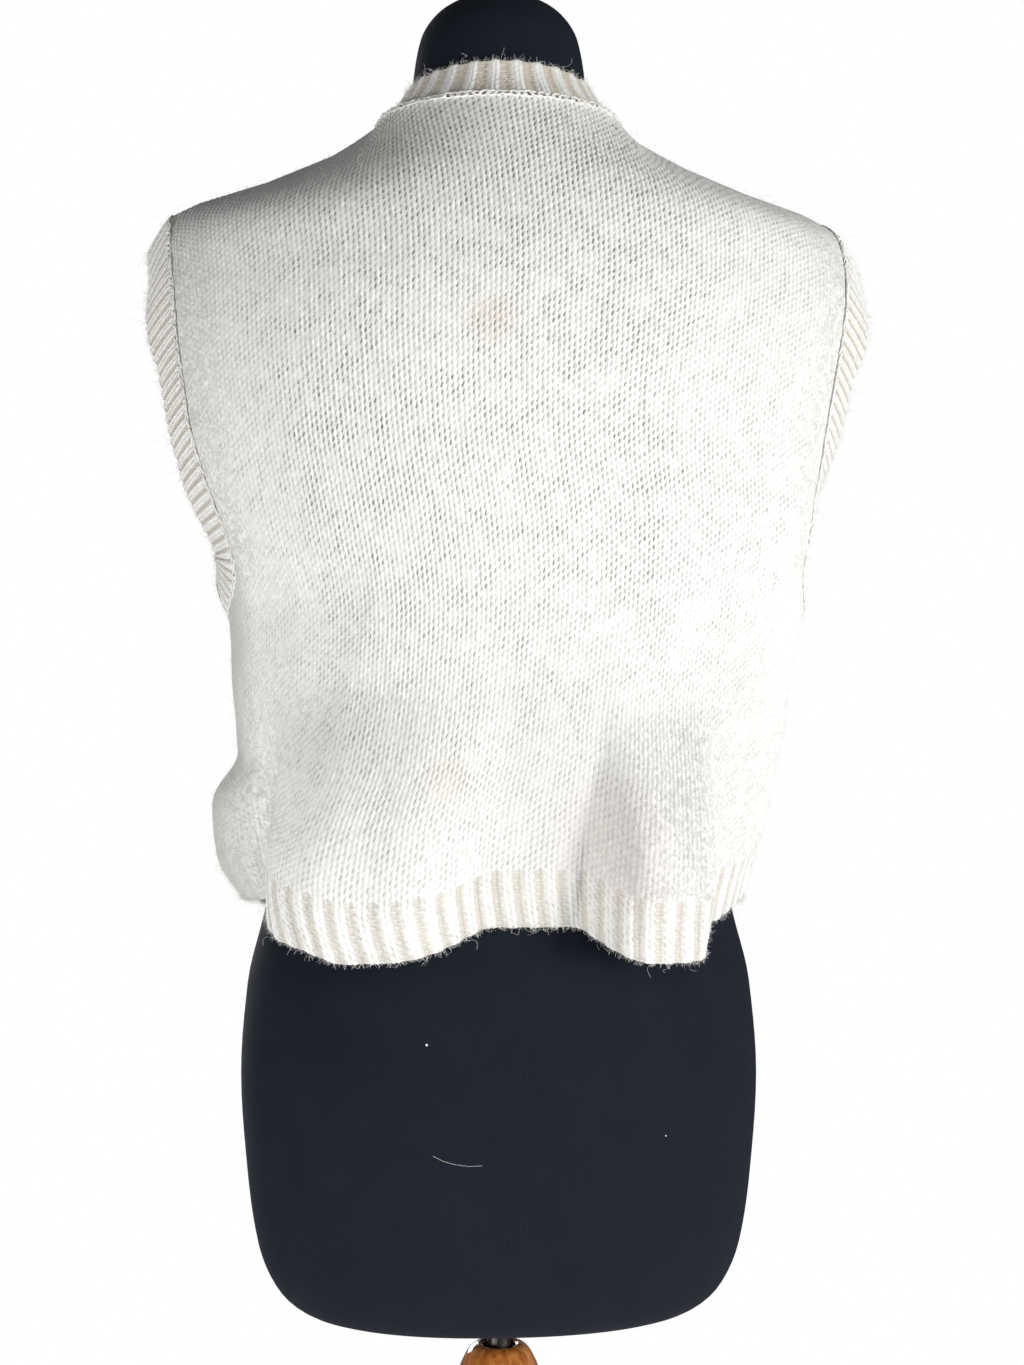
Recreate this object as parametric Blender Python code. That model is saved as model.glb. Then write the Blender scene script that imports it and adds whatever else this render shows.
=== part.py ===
"""A cropped sweater vest, worn by a limbless dress form on a turned wooden stand.

Metres, +Z up.  The floor is z = 0 and the pole stands on the Z axis.  The garment's front
faces -Y, its wearer's left side is +X.  The vest is one knitted surface, read from rows that
run across the back and the front; the panels, ribs and bands are stretches of that surface,
with a wall added on its inner side.
"""
import math

import bmesh
import bpy
import numpy as np

# ---------------------------------------------------------------- driving sizes
GAP = 0.0003            # between neighbouring pieces
BAND_GAP = 0.0008       # between a panel and the band on it, whose walls are warped
SEAM_FLAT = 0.00030     # what a panel and its hem rib each stand back from their seam
WALL = 0.0030           # thickness of the knit
TORSO_BASE = 0.717      # floor to the underside of the torso
EYE = 1.105             # the level that every height in the tables below is taken from

HALF_WALES = 43.5       # stitches from the centre of a panel to its side seam
ARMHOLE_WALES = 35.5    # stitches from the centre to the armhole edge
UNDERARM_RUN = 0.045    # flat height over which the armhole edge curves in
HEM_DEPTH = 0.034       # flat depth of the hem rib
BAND_WIDTH = 0.024      # width of the armhole bands
BAND_CURL = 0.0035      # how far a band's free edge leans in
BAND_TURNS = {1: (0.42, 0.90), -1: (-0.65, 0.75)}   # left, right: how far a band turns out to
                        # the side at the underarm and at the shoulder
BAND_DROOP = 1.3        # how far the shoulder end turns down, for each step out
BAND_TUCK = 0.45        # how much less the band turns out right at the shoulder seam,
BAND_TUCK_REACH = 0.050  # and the height over which it does

PANEL_COLUMNS = 34
NECK_COLUMNS = 8        # of those, from the centre to the neck point
NECK_WALES = ARMHOLE_WALES * NECK_COLUMNS * 2 / PANEL_COLUMNS
BODY_ROWS, CURVE_ROWS, STRAIGHT_ROWS = 7, 5, 9
RIB_ROWS = 2
TORSO_SEGMENTS = 40
TURNED_SEGMENTS = 28

# ---------------------------------------------------------------- the vest, row by row
# flat: length up the cloth from the top of the hem rib; middle, edge: height at the centre
# and at the panel's edge; depth: how far the centre stands from the pole; edge_depth: the
# same at the edge; half, shift: half width at the edge and how far the row hangs to +X;
# round: 2 is an ellipse, 1 a parabola; wales: stitches from the centre to the edge.
BACK_ROWS = (
    # flat   middle   edge    depth  edge_depth half   shift   round  wales
    (-0.034, -0.1400, -0.1460, 0.1120, 0.000, 0.1530, 0.0015, 2.00, 43.5),
    (0.000, -0.1070, -0.1130, 0.1150, 0.000, 0.1590, -0.0010, 2.00, 43.5),
    (0.052, -0.0560, -0.0600, 0.1180, 0.000, 0.1660, -0.0050, 2.00, 43.5),
    (0.110, 0.0020, 0.0000, 0.1200, 0.000, 0.1730, -0.0085, 2.00, 43.5),
    (0.155, 0.0460, 0.0420, 0.1210, 0.000, 0.1790, -0.0115, 1.95, 43.5),
    (0.202, 0.0930, 0.0850, 0.1215, 0.043, 0.1760, -0.0100, 1.60, 35.5),
    (0.250, 0.1400, 0.1290, 0.1215, 0.047, 0.1870, -0.0050, 1.40, 35.5),
    (0.312, 0.2020, 0.1880, 0.1185, 0.046, 0.1990, -0.0045, 1.25, 35.5),
    (0.364, 0.2520, 0.2350, 0.1100, 0.039, 0.2060, -0.0060, 1.15, 35.5),
    (0.410, 0.2970, 0.2700, 0.0950, 0.023, 0.2080, -0.0045, 1.10, 35.5),
)
FRONT_ROWS = (
    (-0.034, -0.1440, -0.1460, 0.1160, 0.000, 0.1530, 0.0015, 2.00, 43.5),
    (0.000, -0.1110, -0.1130, 0.1220, 0.000, 0.1590, -0.0010, 2.00, 43.5),
    (0.052, -0.0600, -0.0600, 0.1290, 0.000, 0.1660, -0.0050, 2.00, 43.5),
    (0.110, -0.0020, 0.0000, 0.1350, 0.000, 0.1730, -0.0085, 2.00, 43.5),
    (0.155, 0.0410, 0.0420, 0.1385, 0.000, 0.1790, -0.0115, 1.95, 43.5),
    (0.202, 0.0860, 0.0850, 0.1395, 0.043, 0.1760, -0.0100, 1.60, 35.5),
    (0.250, 0.1320, 0.1290, 0.1370, 0.047, 0.1870, -0.0050, 1.40, 35.5),
    (0.312, 0.1910, 0.1880, 0.1250, 0.046, 0.1990, -0.0045, 1.25, 35.5),
    (0.364, 0.2400, 0.2350, 0.1080, 0.039, 0.2060, -0.0060, 1.15, 35.5),
    (0.410, 0.2860, 0.2700, 0.0900, 0.023, 0.2080, -0.0045, 1.10, 35.5),
)
TOP_FLAT = 0.472        # flat height of the shoulder seam and the neck seam
UNDERARM_FLAT = 0.155   # flat height where the armhole starts

# The shoulder seam, from the neck point out to the armhole edge.
SHOULDER_LINE = (
    # across  height
    (0.0755, 0.3465),
    (0.1010, 0.3275),
    (0.1410, 0.3100),
    (0.1850, 0.2960),
    (0.2030, 0.2870),
)
DROOP = 1.7             # how a row falls from its middle to its edge
SHOULDER_TURN = 0.030   # how flat the cloth lies as it turns over the shoulder seam

# The neck: half width, depth behind and in front, height at the side, and how much higher it
# lies behind and lower in front.  The top is the upper row of both panels before the front is
# cut down to its neckline; the edge is the free edge of the neckband.
NECK_TOP = dict(half=0.0755, back=0.0700, front=0.0500, side=0.3465, rise=0.0015, dip=0.0000)
NECK_EDGE = dict(half=0.0578, back=0.0610, front=0.0760, side=0.3665, rise=0.0050, dip=0.0660)
NECK_POWER = 1.6        # how quickly the neck rises or dips towards the middle
NECK_DROP = 0.080       # flat depth of the front neckline below the shoulder seam
NECK_HOLLOW = 0.002     # how far the neckband's middle is drawn in

# The largest folds.  around: stitches from the centre of the back, with the side seams at
# 43.5 and the centre of the front at 87; level, reach: height of its middle and how far it
# runs up and down; out: how far it stands out; drop: how far it lowers the cloth; square:
# 2 is a round fold, more is a flatter one with steeper sides.
FOLDS = (
    # name             around width  level   reach   out     drop  square
    ("left flute", 16.5, 14.5, -0.185, 0.190, 0.0360, 0.0165, 2.0),
    ("left flute edge", 23.0, 10.0, -0.160, 0.160, 0.0080, 0.0010, 1.4),
    ("right flute", -15.6, 7.8, -0.175, 0.165, 0.0400, 0.0175, 2.2),
    ("left pouch", 41.0, 10.0, -0.099, 0.056, 0.0180, 0.0000, 2.0),
    ("pouch crease", 32.5, 5.0, -0.085, 0.060, -0.0060, 0.0000, 2.0),
    ("left hem lift", 38.0, 16.0, -0.150, 0.100, 0.0000, -0.0130, 2.0),
    ("left corner lift", 25.5, 9.5, -0.150, 0.085, 0.0000, -0.0115, 2.0),
    ("right hem lift", -43.5, 15.0, -0.150, 0.060, 0.0000, -0.0110, 2.0),
    ("front left flute", 72.0, 10.0, -0.180, 0.115, 0.0260, 0.0080, 2.0),
    ("front right flute", -66.0, 11.0, -0.180, 0.110, 0.0240, 0.0070, 2.0),
)

# ---------------------------------------------------------------- the dress form
TORSO_ROWS = (
    # height   half    back    front   round
    (-0.3880, 0.1000, 0.0600, 0.0600, 2.20),
    (-0.3850, 0.1190, 0.0790, 0.0790, 2.25),
    (-0.3720, 0.1370, 0.0945, 0.0940, 2.30),
    (-0.3440, 0.1495, 0.1060, 0.1050, 2.30),
    (-0.3000, 0.1560, 0.1120, 0.1100, 2.30),
    (-0.2400, 0.1600, 0.1150, 0.1120, 2.25),
    (-0.1850, 0.1560, 0.1110, 0.1080, 2.15),
    (-0.1450, 0.1465, 0.1040, 0.1020, 2.10),
    (-0.1000, 0.1360, 0.0970, 0.0950, 2.05),
    (-0.0500, 0.1270, 0.0900, 0.0900, 2.05),
    (0.0000, 0.1290, 0.0950, 0.1000, 2.05),
    (0.0500, 0.1420, 0.1060, 0.1160, 2.05),
    (0.1000, 0.1540, 0.1130, 0.1280, 2.05),
    (0.1400, 0.1620, 0.1145, 0.1260, 2.05),
    (0.1900, 0.1720, 0.1100, 0.1100, 2.05),
    (0.2300, 0.1800, 0.1030, 0.0950, 2.00),
    (0.2620, 0.1840, 0.0945, 0.0830, 2.00),
    (0.2800, 0.1800, 0.0875, 0.0740, 2.00),
    (0.2900, 0.1640, 0.0825, 0.0680, 2.00),
    (0.3040, 0.1310, 0.0730, 0.0610, 2.00),
    (0.3220, 0.0930, 0.0625, 0.0545, 2.00),
    (0.3380, 0.0690, 0.0560, 0.0510, 2.00),
    (0.3560, 0.0555, 0.0530, 0.0510, 2.00),
    (0.3800, 0.0530, 0.0520, 0.0510, 2.00),
    (0.4000, 0.0490, 0.0485, 0.0480, 2.00),
    (0.4130, 0.0410, 0.0405, 0.0400, 2.00),
    (0.4210, 0.0300, 0.0300, 0.0300, 2.00),
    (0.4240, 0.0200, 0.0200, 0.0200, 2.00),
)

# ---------------------------------------------------------------- the stand
POLE_RADIUS = 0.0075
BULB_TOP = 0.6925       # height of the turned bulb's rim above the floor
SOCKET_DEPTH = 0.014    # how far the rim is bored out round the pole
SOCKET_RIM = 0.0008     # height of the rounded rim of that bore
BASE_RADIUS = 0.185
BASE_HEIGHT = 0.030
BASE_FOOT = 0.003       # the underside's rim is cut back this far
BASE_ROUND = 0.010      # radius of the rounded upper edge
BASE_DOME = 0.004       # how far the top rises from that edge
BASE_FLAT = 0.55        # share of the radius where the top is level
POST_FOOT = 0.004       # how far the post's foot spreads on the base
POST_PROFILE = (
    # height  radius: the socket's rim, the bulb, its neck, the post and its foot
    (0.6925, 0.0125),
    (0.6920, 0.0150),
    (0.6890, 0.0188),
    (0.6840, 0.0218),
    (0.6770, 0.0248),
    (0.6660, 0.0271),
    (0.6520, 0.0268),
    (0.6380, 0.0230),
    (0.6280, 0.0180),
    (0.6240, 0.0165),
    (0.6200, 0.0210),
    (0.6140, 0.0225),
    (0.6080, 0.0210),
    (0.6040, 0.0170),
    (0.5900, 0.0160),
    (0.4300, 0.0195),
    (0.2300, 0.0225),
    (0.1350, 0.0215),
    (0.1250, 0.0270),
    (0.1150, 0.0290),
    (0.1050, 0.0270),
    (0.0950, 0.0225),
    (0.0600, 0.0330),
    (0.0400, 0.0480),
)
SOCKET_RADIUS = 0.0105
CAP_PROFILE = (
    # height above the neck, radius
    (0.0000, 0.0190),
    (0.0060, 0.0195),
    (0.0090, 0.0175),
    (0.0110, 0.0100),
    (0.0150, 0.0092),
    (0.0190, 0.0130),
    (0.0250, 0.0145),
    (0.0310, 0.0115),
    (0.0340, 0.0050),
)

# name: (colour, roughness, metallic)
FINISHES = {
    "wool": ((0.83, 0.80, 0.75), 0.95, 0.0),
    "jersey": ((0.012, 0.014, 0.020), 0.90, 0.0),
    "varnished_wood": ((0.24, 0.075, 0.018), 0.25, 0.0),
    "pale_wood": ((0.42, 0.29, 0.21), 0.45, 0.0),
    "dark_steel": ((0.03, 0.028, 0.028), 0.45, 1.0),
}


# ---------------------------------------------------------------- the knitted surface
def bump(distance, width, square=2.0):
    """One over the middle of a fold, falling smoothly to nothing at its width."""
    inside = np.clip(1.0 - np.abs(distance / width) ** square, 0.0, 1.0)
    return inside ** 2 * (3.0 - 2.0 * inside)


def along_row(row, share):
    """Places on one row at shares of its length from the centre; past 1 it runs straight on."""
    _, middle, edge, depth, edge_depth, half, _, roundness, _ = row
    turn = np.linspace(0.0, math.pi / 2, 61)
    across = half * np.sin(turn)
    out = edge_depth + (depth - edge_depth) * np.cos(turn) ** (2.0 / roundness)
    length = np.concatenate([[0.0], np.cumsum(np.hypot(np.diff(across), np.diff(out)))])
    inner = np.clip(share, 0.0, 1.0)
    x = np.interp(inner * length[-1], length, across)
    y = np.interp(inner * length[-1], length, out)
    over = np.clip(share - 1.0, 0.0, None) * length[-1]
    step = np.array([across[-1] - across[-4], out[-1] - out[-4]])
    step /= np.hypot(*step)
    z = middle + (edge - middle) * share ** DROOP
    return x + over * step[0], y + over * step[1], z


def neck_point(ring, share, behind):
    """A place on the panels' top or the neckband's edge, from the centre (0) to the side (1)."""
    turn = share * math.pi / 2
    depth = ring["back"] if behind else ring["front"]
    height = ring["rise"] if behind else -ring["dip"]
    x = ring["half"] * np.sin(turn)
    y = depth * np.cos(turn)
    z = ring["side"] + height * np.cos(turn) ** NECK_POWER
    return x, y, z


def top_row(wales, behind):
    """The upper row of a panel: half the neck, then the shoulder seam."""
    x, y, z = neck_point(NECK_TOP, np.clip(wales / NECK_WALES, 0.0, 1.0), behind)
    line = np.array(SHOULDER_LINE)
    length = np.concatenate([[0.0], np.cumsum(np.hypot(*np.diff(line, axis=0).T))])
    share = (wales - NECK_WALES) / (ARMHOLE_WALES - NECK_WALES)
    at = np.clip(share, 0.0, 1.3) * length[-1]
    on_shoulder = share > 0
    slope = (line[-1] - line[-2]) / (length[-1] - length[-2])
    over = np.clip(at - length[-1], 0.0, None)
    x = np.where(on_shoulder, np.interp(at, length, line[:, 0]) + over * slope[0], x)
    z = np.where(on_shoulder, np.interp(at, length, line[:, 1]) + over * slope[1], z)
    return x, np.where(on_shoulder, 0.0, y), z


def surface(wales, flat, behind):
    """The outer face of the cloth: stitches from the centre (+ is the wearer's left) and the
    flat height above the hem rib, as arrays of one shape, to points."""
    rows = BACK_ROWS if behind else FRONT_ROWS
    side = np.sign(wales) + (wales == 0)
    count = np.abs(wales)
    knots, points = [], []
    for row in rows:
        x, y, z = along_row(row, count / row[8])
        knots.append(row[0])
        points.append(np.stack([side * x + row[6], y, z], axis=-1))
    x, y, z = top_row(count, behind)
    knots.append(TOP_FLAT)
    points.append(np.stack([side * x, y, z], axis=-1))

    knots, points = np.array(knots), np.array(points)
    slopes = np.empty_like(points)
    steps = np.diff(points, axis=0) / np.diff(knots)[:, None, None]
    spans = np.diff(knots)[:, None, None]
    slopes[1:-1] = (steps[:-1] * spans[1:] + steps[1:] * spans[:-1]) / (spans[1:] + spans[:-1])
    slopes[0], slopes[-1] = steps[0], steps[-1]
    over = np.clip((count - NECK_WALES + 1.0) / 5.0, 0.0, 1.0)[..., None]
    flat_turn = np.zeros_like(slopes[-1])
    flat_turn[..., 1] = -SHOULDER_TURN / (knots[-1] - knots[-2])
    slopes[-1] = slopes[-1] * (1.0 - over) + flat_turn * over

    last = np.clip(np.searchsorted(knots, flat, side="right") - 1, 0, len(knots) - 2)
    column = np.arange(len(wales))
    span = (knots[last + 1] - knots[last])[:, None]
    t = ((flat - knots[last])[:, None]) / span
    p0, p1 = points[last, column], points[last + 1, column]
    m0, m1 = slopes[last, column] * span, slopes[last + 1, column] * span
    place = ((2 * t ** 3 - 3 * t ** 2 + 1) * p0 + (t ** 3 - 2 * t ** 2 + t) * m0
             + (3 * t ** 2 - 2 * t ** 3) * p1 + (t ** 3 - t ** 2) * m1)
    if not behind:
        place[:, 1] *= -1.0
    return place


def folded(wales, flat, behind):
    """The surface with its folds, standing out from the pole's axis."""
    place = surface(wales, flat, behind)
    side = np.sign(wales) + (wales == 0)
    around = wales if behind else side * (2 * HALF_WALES - np.abs(wales))
    away = place * np.array([1.0, 1.3, 0.0])
    away /= np.linalg.norm(away, axis=1)[:, None]
    level_of = place[:, 2].copy()
    for _, middle, width, level, reach, out, drop, square in FOLDS:
        gap = (around - middle + 2 * HALF_WALES) % (4 * HALF_WALES) - 2 * HALF_WALES
        share = bump(gap, width, square) * bump(level_of - level, reach)
        place += away * (out * share)[:, None]
        place[:, 2] -= drop * share
    place[:, 2] += EYE
    return place


def armhole_flats():
    """Flat heights of the rows that end at the armhole, close together where it curves."""
    curve = UNDERARM_FLAT + UNDERARM_RUN * np.linspace(0.0, 1.0, CURVE_ROWS + 1) ** 1.6
    straight = np.linspace(curve[-1], TOP_FLAT, STRAIGHT_ROWS + 1)
    return np.concatenate([curve[:-1], straight])


def armhole_wales(flat):
    """Where the panel ends: the side seam, then a curve in to the straight armhole edge."""
    share = np.clip((flat - UNDERARM_FLAT) / UNDERARM_RUN, 0.0, 1.0)
    return ARMHOLE_WALES + (HALF_WALES - ARMHOLE_WALES) * (1.0 - share) ** 2.4


def normals(wales, flat, behind):
    """Unit normals of the folded surface, pointing out of the garment."""
    small_wale, small_flat = 0.05, 0.0004
    low = np.maximum(flat - small_flat, -HEM_DEPTH)
    high = np.minimum(flat + small_flat, TOP_FLAT)
    up = folded(wales, high, behind) - folded(wales, low, behind)
    left = folded(wales + small_wale, flat, behind) - folded(wales - small_wale, flat, behind)
    n = np.cross(up, left) if behind else np.cross(left, up)
    return n / np.linalg.norm(n, axis=1)[:, None]


# ---------------------------------------------------------------- making solids
def material(name):
    colour, roughness, metallic = FINISHES[name]
    mat = bpy.data.materials.new(name)
    mat.use_nodes = True
    shader = mat.node_tree.nodes["Principled BSDF"]
    shader.inputs["Base Color"].default_value = (*colour, 1.0)
    shader.inputs["Roughness"].default_value = roughness
    shader.inputs["Metallic"].default_value = metallic
    return mat


def add_object(name, bm, finish):
    """One closed solid: its doubles merged, its faces turned out, shaded smooth."""
    bmesh.ops.remove_doubles(bm, verts=bm.verts, dist=1e-6)
    bmesh.ops.recalc_face_normals(bm, faces=bm.faces)
    mesh = bpy.data.meshes.new(name)
    bm.to_mesh(mesh)
    bm.free()
    mesh.materials.append(material(finish))
    mesh.shade_smooth()
    mesh.set_sharp_from_angle(angle=math.radians(40))
    obj = bpy.data.objects.new(name, mesh)
    bpy.context.collection.objects.link(obj)
    return obj


def wall(name, outer, inner, finish, closed=False):
    """A wall between two grids of points (rows x columns x 3); closed joins its last column
    to its first."""
    rows, columns = outer.shape[:2]
    bm = bmesh.new()
    grids = []
    for grid in (outer, inner):
        grids.append([[bm.verts.new(p) for p in line] for line in grid])
    across = range(columns if closed else columns - 1)
    for front, grid in zip((True, False), grids):
        for r in range(rows - 1):
            for c in across:
                d = (c + 1) % columns
                face = [grid[r][c], grid[r][d], grid[r + 1][d], grid[r + 1][c]]
                bm.faces.new(face if front else face[::-1])
    one, two = grids
    for r in (0, rows - 1):
        for c in across:
            d = (c + 1) % columns
            bm.faces.new([one[r][c], two[r][c], two[r][d], one[r][d]])
    if not closed:
        for c in (0, columns - 1):
            for r in range(rows - 1):
                bm.faces.new([one[r][c], one[r + 1][c], two[r + 1][c], two[r][c]])
    return add_object(name, bm, finish)


def top_flat(wales, behind):
    """The flat height of a panel's upper edge: the front is cut down to its neckline."""
    inside = np.clip(1.0 - (wales / NECK_WALES) ** 2, 0.0, 1.0)
    return TOP_FLAT - (0.0 if behind else NECK_DROP) * inside ** NECK_POWER


def neck_lines(wales, behind):
    """Places on the neck seam, and those above them on the neckband's edge."""
    seam = folded(wales, top_flat(wales, behind), behind)
    side = np.sign(wales) + (wales == 0)
    x, y, z = neck_point(NECK_EDGE, np.abs(wales) / NECK_WALES, behind)
    edge = np.stack([side * x, y if behind else -y, z + EYE], axis=1)
    return seam, edge


def seam_normals(wales, flat, behind):
    """Normals that neighbouring pieces share along their seams, so that their walls meet."""
    n = normals(wales, flat, behind)
    on_neck = (flat > top_flat(wales, behind) - 1e-6) & (np.abs(wales) < NECK_WALES - 1e-6)
    if on_neck.any():
        count = wales[on_neck]
        seam, edge = neck_lines(count, behind)
        ahead, _ = neck_lines(count + 0.05, behind)
        n[on_neck] = np.cross(ahead - seam, edge - seam) * (-1.0 if behind else 1.0)
    on_side = np.abs(wales) > HALF_WALES - 1e-6
    on_shoulder = (flat > TOP_FLAT - 1e-6) & (np.abs(wales) > NECK_WALES - 1e-6)
    seam = on_side | on_shoulder
    n[seam, 1] = 0.0
    return n / np.linalg.norm(n, axis=1)[:, None], seam


def cloth_points(wales, flat, behind):
    """Outer and inner points of a wall at grids of stitches and flat heights.  The panels meet
    in one plane along their side and shoulder seams."""
    shape = wales.shape
    w, f = wales.ravel(), flat.ravel()
    outer = folded(w, f, behind)
    n, seam = seam_normals(w, f, behind)
    inner = outer - n * WALL
    away = GAP / 2 * (1.0 if behind else -1.0)
    outer[seam, 1] = away
    inner[seam, 1] = away
    return outer.reshape(*shape, 3), inner.reshape(*shape, 3)


def make_panel(name, behind):
    """A panel from the hem rib to the shoulder, cut in at the armholes."""
    body = np.linspace(SEAM_FLAT, UNDERARM_FLAT, BODY_ROWS + 1)
    flat = np.concatenate([body[:-1], armhole_flats()])
    share = np.linspace(-1.0, 1.0, PANEL_COLUMNS + 1)
    edge = armhole_wales(flat)
    wales = share[None, :] * edge[:, None]
    # Above the underarm curve the rows close up towards the neckline.
    start = UNDERARM_FLAT + UNDERARM_RUN
    above = np.clip((flat - start) / (TOP_FLAT - start), 0.0, 1.0)[:, None]
    flats = flat[:, None] + above * (top_flat(wales, behind) - TOP_FLAT)
    outer, inner = cloth_points(wales, flats, behind)
    return wall(name, outer, inner, "wool")


def make_hem_rib(name, behind):
    flat = np.linspace(-HEM_DEPTH, -SEAM_FLAT, RIB_ROWS + 1)
    wales = np.linspace(-HALF_WALES, HALF_WALES, PANEL_COLUMNS + 1)
    grid_wales = np.repeat(wales[None, :], len(flat), axis=0)
    grid_flat = np.repeat(flat[:, None], len(wales), axis=1)
    outer, inner = cloth_points(grid_wales, grid_flat, behind)
    return wall(name, outer, inner, "wool")


def armhole_loop(side):
    """The armhole edge of both panels, from the underarm up the back and down the front:
    points, normals and the direction the band stands out in."""
    flat = armhole_flats()
    wales = side * armhole_wales(flat)
    back, front = folded(wales, flat, True), folded(wales, flat, False)
    back_n, front_n = seam_normals(wales, flat, True)[0], seam_normals(wales, flat, False)[0]
    points = np.concatenate([back, front[-2:0:-1]])
    n = np.concatenate([back_n, front_n[-2:0:-1]])
    for end in (0, len(flat) - 1):
        points[end, 1] = 0.0
    run = np.roll(points, -1, axis=0) - np.roll(points, 1, axis=0)
    out = np.cross(n, run) * side
    out /= np.linalg.norm(out, axis=1)[:, None]
    return points, n, out


def make_armband(name, side):
    points, n, out = armhole_loop(side)
    start = points + out * BAND_GAP
    height = points[:, 2]
    low, top = BAND_TURNS[side]
    high = bump(height - height.max(), height.max() - height.min())
    turn = low + (top - low) * high
    turn *= 1.0 - BAND_TUCK * bump(height - height.max(), BAND_TUCK_REACH)
    out[:, 0] += side * turn
    out[:, 2] -= BAND_DROOP * top * high
    out /= np.linalg.norm(out, axis=1)[:, None]
    outer, inner = [], []
    for share in (0.0, 0.5, 1.0):
        lean = BAND_CURL * share ** 2
        line = start + out * BAND_WIDTH * share - n * lean
        outer.append(line)
        inner.append(line - n * WALL)
    return wall(name, np.array(outer), np.array(inner), "wool", closed=True)


def make_neckband(name):
    """A ring from the neck seam up to its free edge, round from the right by the back."""
    wales = np.linspace(-NECK_WALES, NECK_WALES, 2 * NECK_COLUMNS + 1)
    rings = []
    for behind in (True, False):
        seam, edge = neck_lines(wales, behind)
        n, _ = seam_normals(wales, top_flat(wales, behind), behind)
        order = slice(0, -1) if behind else slice(None, 0, -1)
        rings.append([line[order] for line in (seam, edge, n)])
    seam, edge, n = (np.concatenate(pair) for pair in zip(*rings))
    seam[[0, 2 * NECK_COLUMNS], 1] = 0.0
    up = edge - seam
    up /= np.linalg.norm(up, axis=1)[:, None]
    run = np.roll(edge, -1, axis=0) - np.roll(edge, 1, axis=0)
    edge_n = np.cross(up, run)
    edge_n /= np.linalg.norm(edge_n, axis=1)[:, None]
    start = seam + up * BAND_GAP
    outer, inner = [], []
    for share in (0.0, 0.5, 1.0):
        side = n * (1.0 - share) + edge_n * share
        side /= np.linalg.norm(side, axis=1)[:, None]
        line = start + (edge - start) * share - side * NECK_HOLLOW * math.sin(math.pi * share)
        outer.append(line)
        inner.append(line - side * WALL)
    return wall(name, np.array(outer), np.array(inner), "wool", closed=True)


# ---------------------------------------------------------------- the form and its stand
def capped_rings(name, rings, finish):
    """A closed solid through rings of equal count, bottom to top, with flat ends."""
    bm = bmesh.new()
    lines = [[bm.verts.new(p) for p in ring] for ring in rings]
    for low, high in zip(lines, lines[1:]):
        for c in range(len(low)):
            d = (c + 1) % len(low)
            bm.faces.new([low[c], low[d], high[d], high[c]])
    bm.faces.new(lines[0][::-1])
    bm.faces.new(lines[-1])
    return add_object(name, bm, finish)


def make_torso(name):
    turn = np.arange(TORSO_SEGMENTS) * 2 * math.pi / TORSO_SEGMENTS
    rings = []
    for height, half, back, front, roundness in TORSO_ROWS:
        c, s = np.cos(turn), np.sin(turn)
        depth = np.where(s > 0, back, front)
        power = 2.0 / roundness
        x = half * np.sign(c) * np.abs(c) ** power
        y = depth * np.sign(s) * np.abs(s) ** power
        rings.append(np.stack([x, y, np.full_like(x, height + EYE)], axis=1))
    return capped_rings(name, rings, "jersey")


def turned(name, profile, base, finish):
    """A solid turned about the Z axis from (height, radius) rows, bottom to top."""
    turn = np.arange(TURNED_SEGMENTS) * 2 * math.pi / TURNED_SEGMENTS
    rings = []
    for height, radius in profile:
        rings.append(np.stack([radius * np.cos(turn), radius * np.sin(turn),
                               np.full_like(turn, base + height)], axis=1))
    return capped_rings(name, rings, finish)


def make_post(name):
    """The turned post, bored at its top for the pole."""
    outside = list(POST_PROFILE[::-1])
    floor = BULB_TOP - SOCKET_DEPTH
    foot = [(BASE_HEIGHT + GAP, POST_PROFILE[-1][1] + POST_FOOT)]
    socket = [(BULB_TOP - SOCKET_RIM, SOCKET_RADIUS), (floor, SOCKET_RADIUS)]
    return turned(name, foot + outside + socket, 0.0, "varnished_wood")


def make_base(name):
    profile = [(0.0, BASE_RADIUS - BASE_FOOT), (BASE_FOOT, BASE_RADIUS)]
    round_start = BASE_HEIGHT - BASE_ROUND - BASE_DOME
    for turn in np.linspace(0.0, math.pi / 2, 5):
        profile.append((round_start + BASE_ROUND * math.sin(turn),
                        BASE_RADIUS - BASE_ROUND + BASE_ROUND * math.cos(turn)))
    profile.append((BASE_HEIGHT, BASE_RADIUS * BASE_FLAT))
    return turned(name, profile, 0.0, "varnished_wood")


def make_pole(name):
    bottom = BULB_TOP - SOCKET_DEPTH + GAP
    top = TORSO_BASE - GAP
    return turned(name, [(bottom, POLE_RADIUS), (top, POLE_RADIUS)], 0.0, "dark_steel")


def main():
    for obj in list(bpy.data.objects):
        bpy.data.objects.remove(obj, do_unlink=True)
    make_base("stand_base")
    make_post("turned_post")
    make_pole("pole")
    make_torso("form_torso")
    turned("neck_cap", CAP_PROFILE, EYE + TORSO_ROWS[-1][0] + GAP, "pale_wood")
    make_panel("back_panel", True)
    make_panel("front_panel", False)
    make_hem_rib("hem_rib_back", True)
    make_hem_rib("hem_rib_front", False)
    make_neckband("neckband")
    make_armband("armband_left", 1)
    make_armband("armband_right", -1)


main()
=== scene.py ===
import math

import bpy
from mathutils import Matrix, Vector
import numpy as np


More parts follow.
